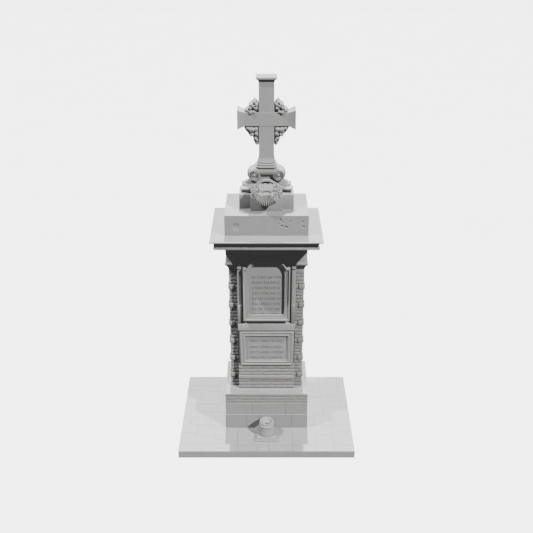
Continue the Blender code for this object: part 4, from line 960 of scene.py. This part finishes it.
def build_vase():
    low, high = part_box("vase")
    height = high[2] - low[2]
    centre = Matrix.Translation(((low[0] + high[0]) / 2, (low[1] + high[1]) / 2, low[2]))
    profile = [(0.0, 0.0), (0.143, 0.0), (0.148, 0.004), (0.149, 0.012)]
    for k in range(9):
        t = k / 8
        profile.append((0.149 - 0.019 * t - 0.005 * math.sin(math.pi * t), 0.014 + 0.172 * t))
    profile += [(0.131, 0.188), (0.129, 0.193), (0.124, 0.197)]
    profile += [(0.110, 0.209), (0.108, 0.214), (0.109, 0.219)]
    rim = 0.118
    bore = 0.033
    for k in range(9):
        turn = math.pi * (k / 8 - 0.5)
        profile.append((rim - 0.011 + 0.011 * math.cos(turn), height - 0.014 + 0.0135 * math.sin(turn)))
    bowl = ((0.101, 0.002), (0.094, 0.006), (0.087, 0.022), (0.078, 0.040), (0.064, 0.050),
            (0.038, 0.056), (bore, 0.062))
    profile += [(radius, height - down) for radius, down in bowl]
    profile += [(bore, 0.057), (0.0, 0.056)]
    bm = bmesh.new()
    turned(bm, profile, 96, centre)
    piece("turned_vase", bm, "limestone", ("vase",))


build_paving()
build_attic()
build_piers()
build_bay_foot()
build_plinth_bricks()
build_strokes()
build_garland()
build_capital()
build_cross()
build_foliage()
build_vase()


# Floor, light and camera

def build_stage():
    bm = bmesh.new()
    bmesh.ops.create_grid(bm, x_segments=1, y_segments=1, size=60.0)
    mesh = bpy.data.meshes.new("floor")
    bm.to_mesh(mesh)
    bm.free()
    mesh.materials.append(plain_floor())
    floor = bpy.data.objects.new("floor", mesh)
    floor.location.z = -0.001
    bpy.context.scene.collection.objects.link(floor)
    floor.visible_glossy = False
    build_backdrop()
    # No surface throws light on another
    for solid in bpy.context.scene.objects:
        solid.visible_diffuse = False
    return floor


def build_backdrop():
    """A pale dome far behind, which lights and shades nothing."""
    bm = bmesh.new()
    radius, sunk = 54.0, 0.5
    angles = (0.0, 0.25, 0.5, 0.8, 1.1, 1.35)
    profile = [(radius * math.cos(a), radius * math.sin(a) - sunk) for a in angles]
    turned(bm, [*profile, (0.0, radius - sunk)], 64, Matrix.Identity(4))
    mesh = bpy.data.meshes.new("backdrop")
    bm.to_mesh(mesh)
    bm.free()
    material = bpy.data.materials.new("backdrop")
    material.use_nodes = True
    shader = material.node_tree.nodes["Principled BSDF"]
    shader.inputs["Base Color"].default_value = (0.0, 0.0, 0.0, 1.0)
    shader.inputs["Roughness"].default_value = 1.0
    shader.inputs["Specular IOR Level"].default_value = 0.0
    shader.inputs["Emission Color"].default_value = (1.0, 1.0, 1.0, 1.0)
    shader.inputs["Emission Strength"].default_value = 4.8
    material.cycles.emission_sampling = "NONE"
    mesh.materials.append(material)
    dome = bpy.data.objects.new("backdrop", mesh)
    dome.visible_shadow = False
    dome.visible_glossy = False
    bpy.context.scene.collection.objects.link(dome)


def sun(name, travel, strength, angle):
    light = bpy.data.lights.new(name, "SUN")
    light.energy = strength
    light.angle = math.radians(angle)
    obj = bpy.data.objects.new(name, light)
    obj.rotation_euler = Vector(travel).to_track_quat("-Z", "Y").to_euler()
    bpy.context.scene.collection.objects.link(obj)
    return obj


# Suns on the monument: name, direction of travel, strength and apparent size in degrees
SUNS = (
    ("key", (-0.60, 0.49, -0.73), 3.0, 1.0),
    ("fill", (0.480, 0.180, -0.73), 1.9, 1.2),
    ("high", (0.0, -0.452, -0.73), 5.0, 1.2),
)


def build_light(floor):
    """Three suns for the monument, and a shadowless one for the floor alone."""
    suns = [sun(*row) for row in SUNS]
    over = sun("floor_light", (0.0, 0.0, -1.0), 17.0, 10.0)
    over.data.use_shadow = False
    apart = bpy.data.collections.new("floor_apart")
    apart.objects.link(floor)
    apart.collection_objects[0].light_linking.link_state = "EXCLUDE"
    alone = bpy.data.collections.new("floor_alone")
    alone.objects.link(floor)
    for light in suns:
        light.light_linking.receiver_collection = apart
    over.light_linking.receiver_collection = alone
    world = bpy.data.worlds.new("studio")
    world.use_nodes = True
    world.node_tree.nodes["Background"].inputs["Color"].default_value = (1.0, 1.0, 1.0, 1.0)
    world.node_tree.nodes["Background"].inputs["Strength"].default_value = 0.06
    bpy.context.scene.world = world


def build_camera():
    data = bpy.data.cameras.new("camera")
    data.lens = LENS
    data.sensor_width = SENSOR
    data.clip_end = 200.0
    camera = bpy.data.objects.new("camera", data)
    camera.location = CAMERA
    camera.rotation_euler = (math.pi / 2 - PITCH, 0.0, 0.0)
    bpy.context.scene.collection.objects.link(camera)
    bpy.context.scene.camera = camera


build_light(build_stage())
build_camera()
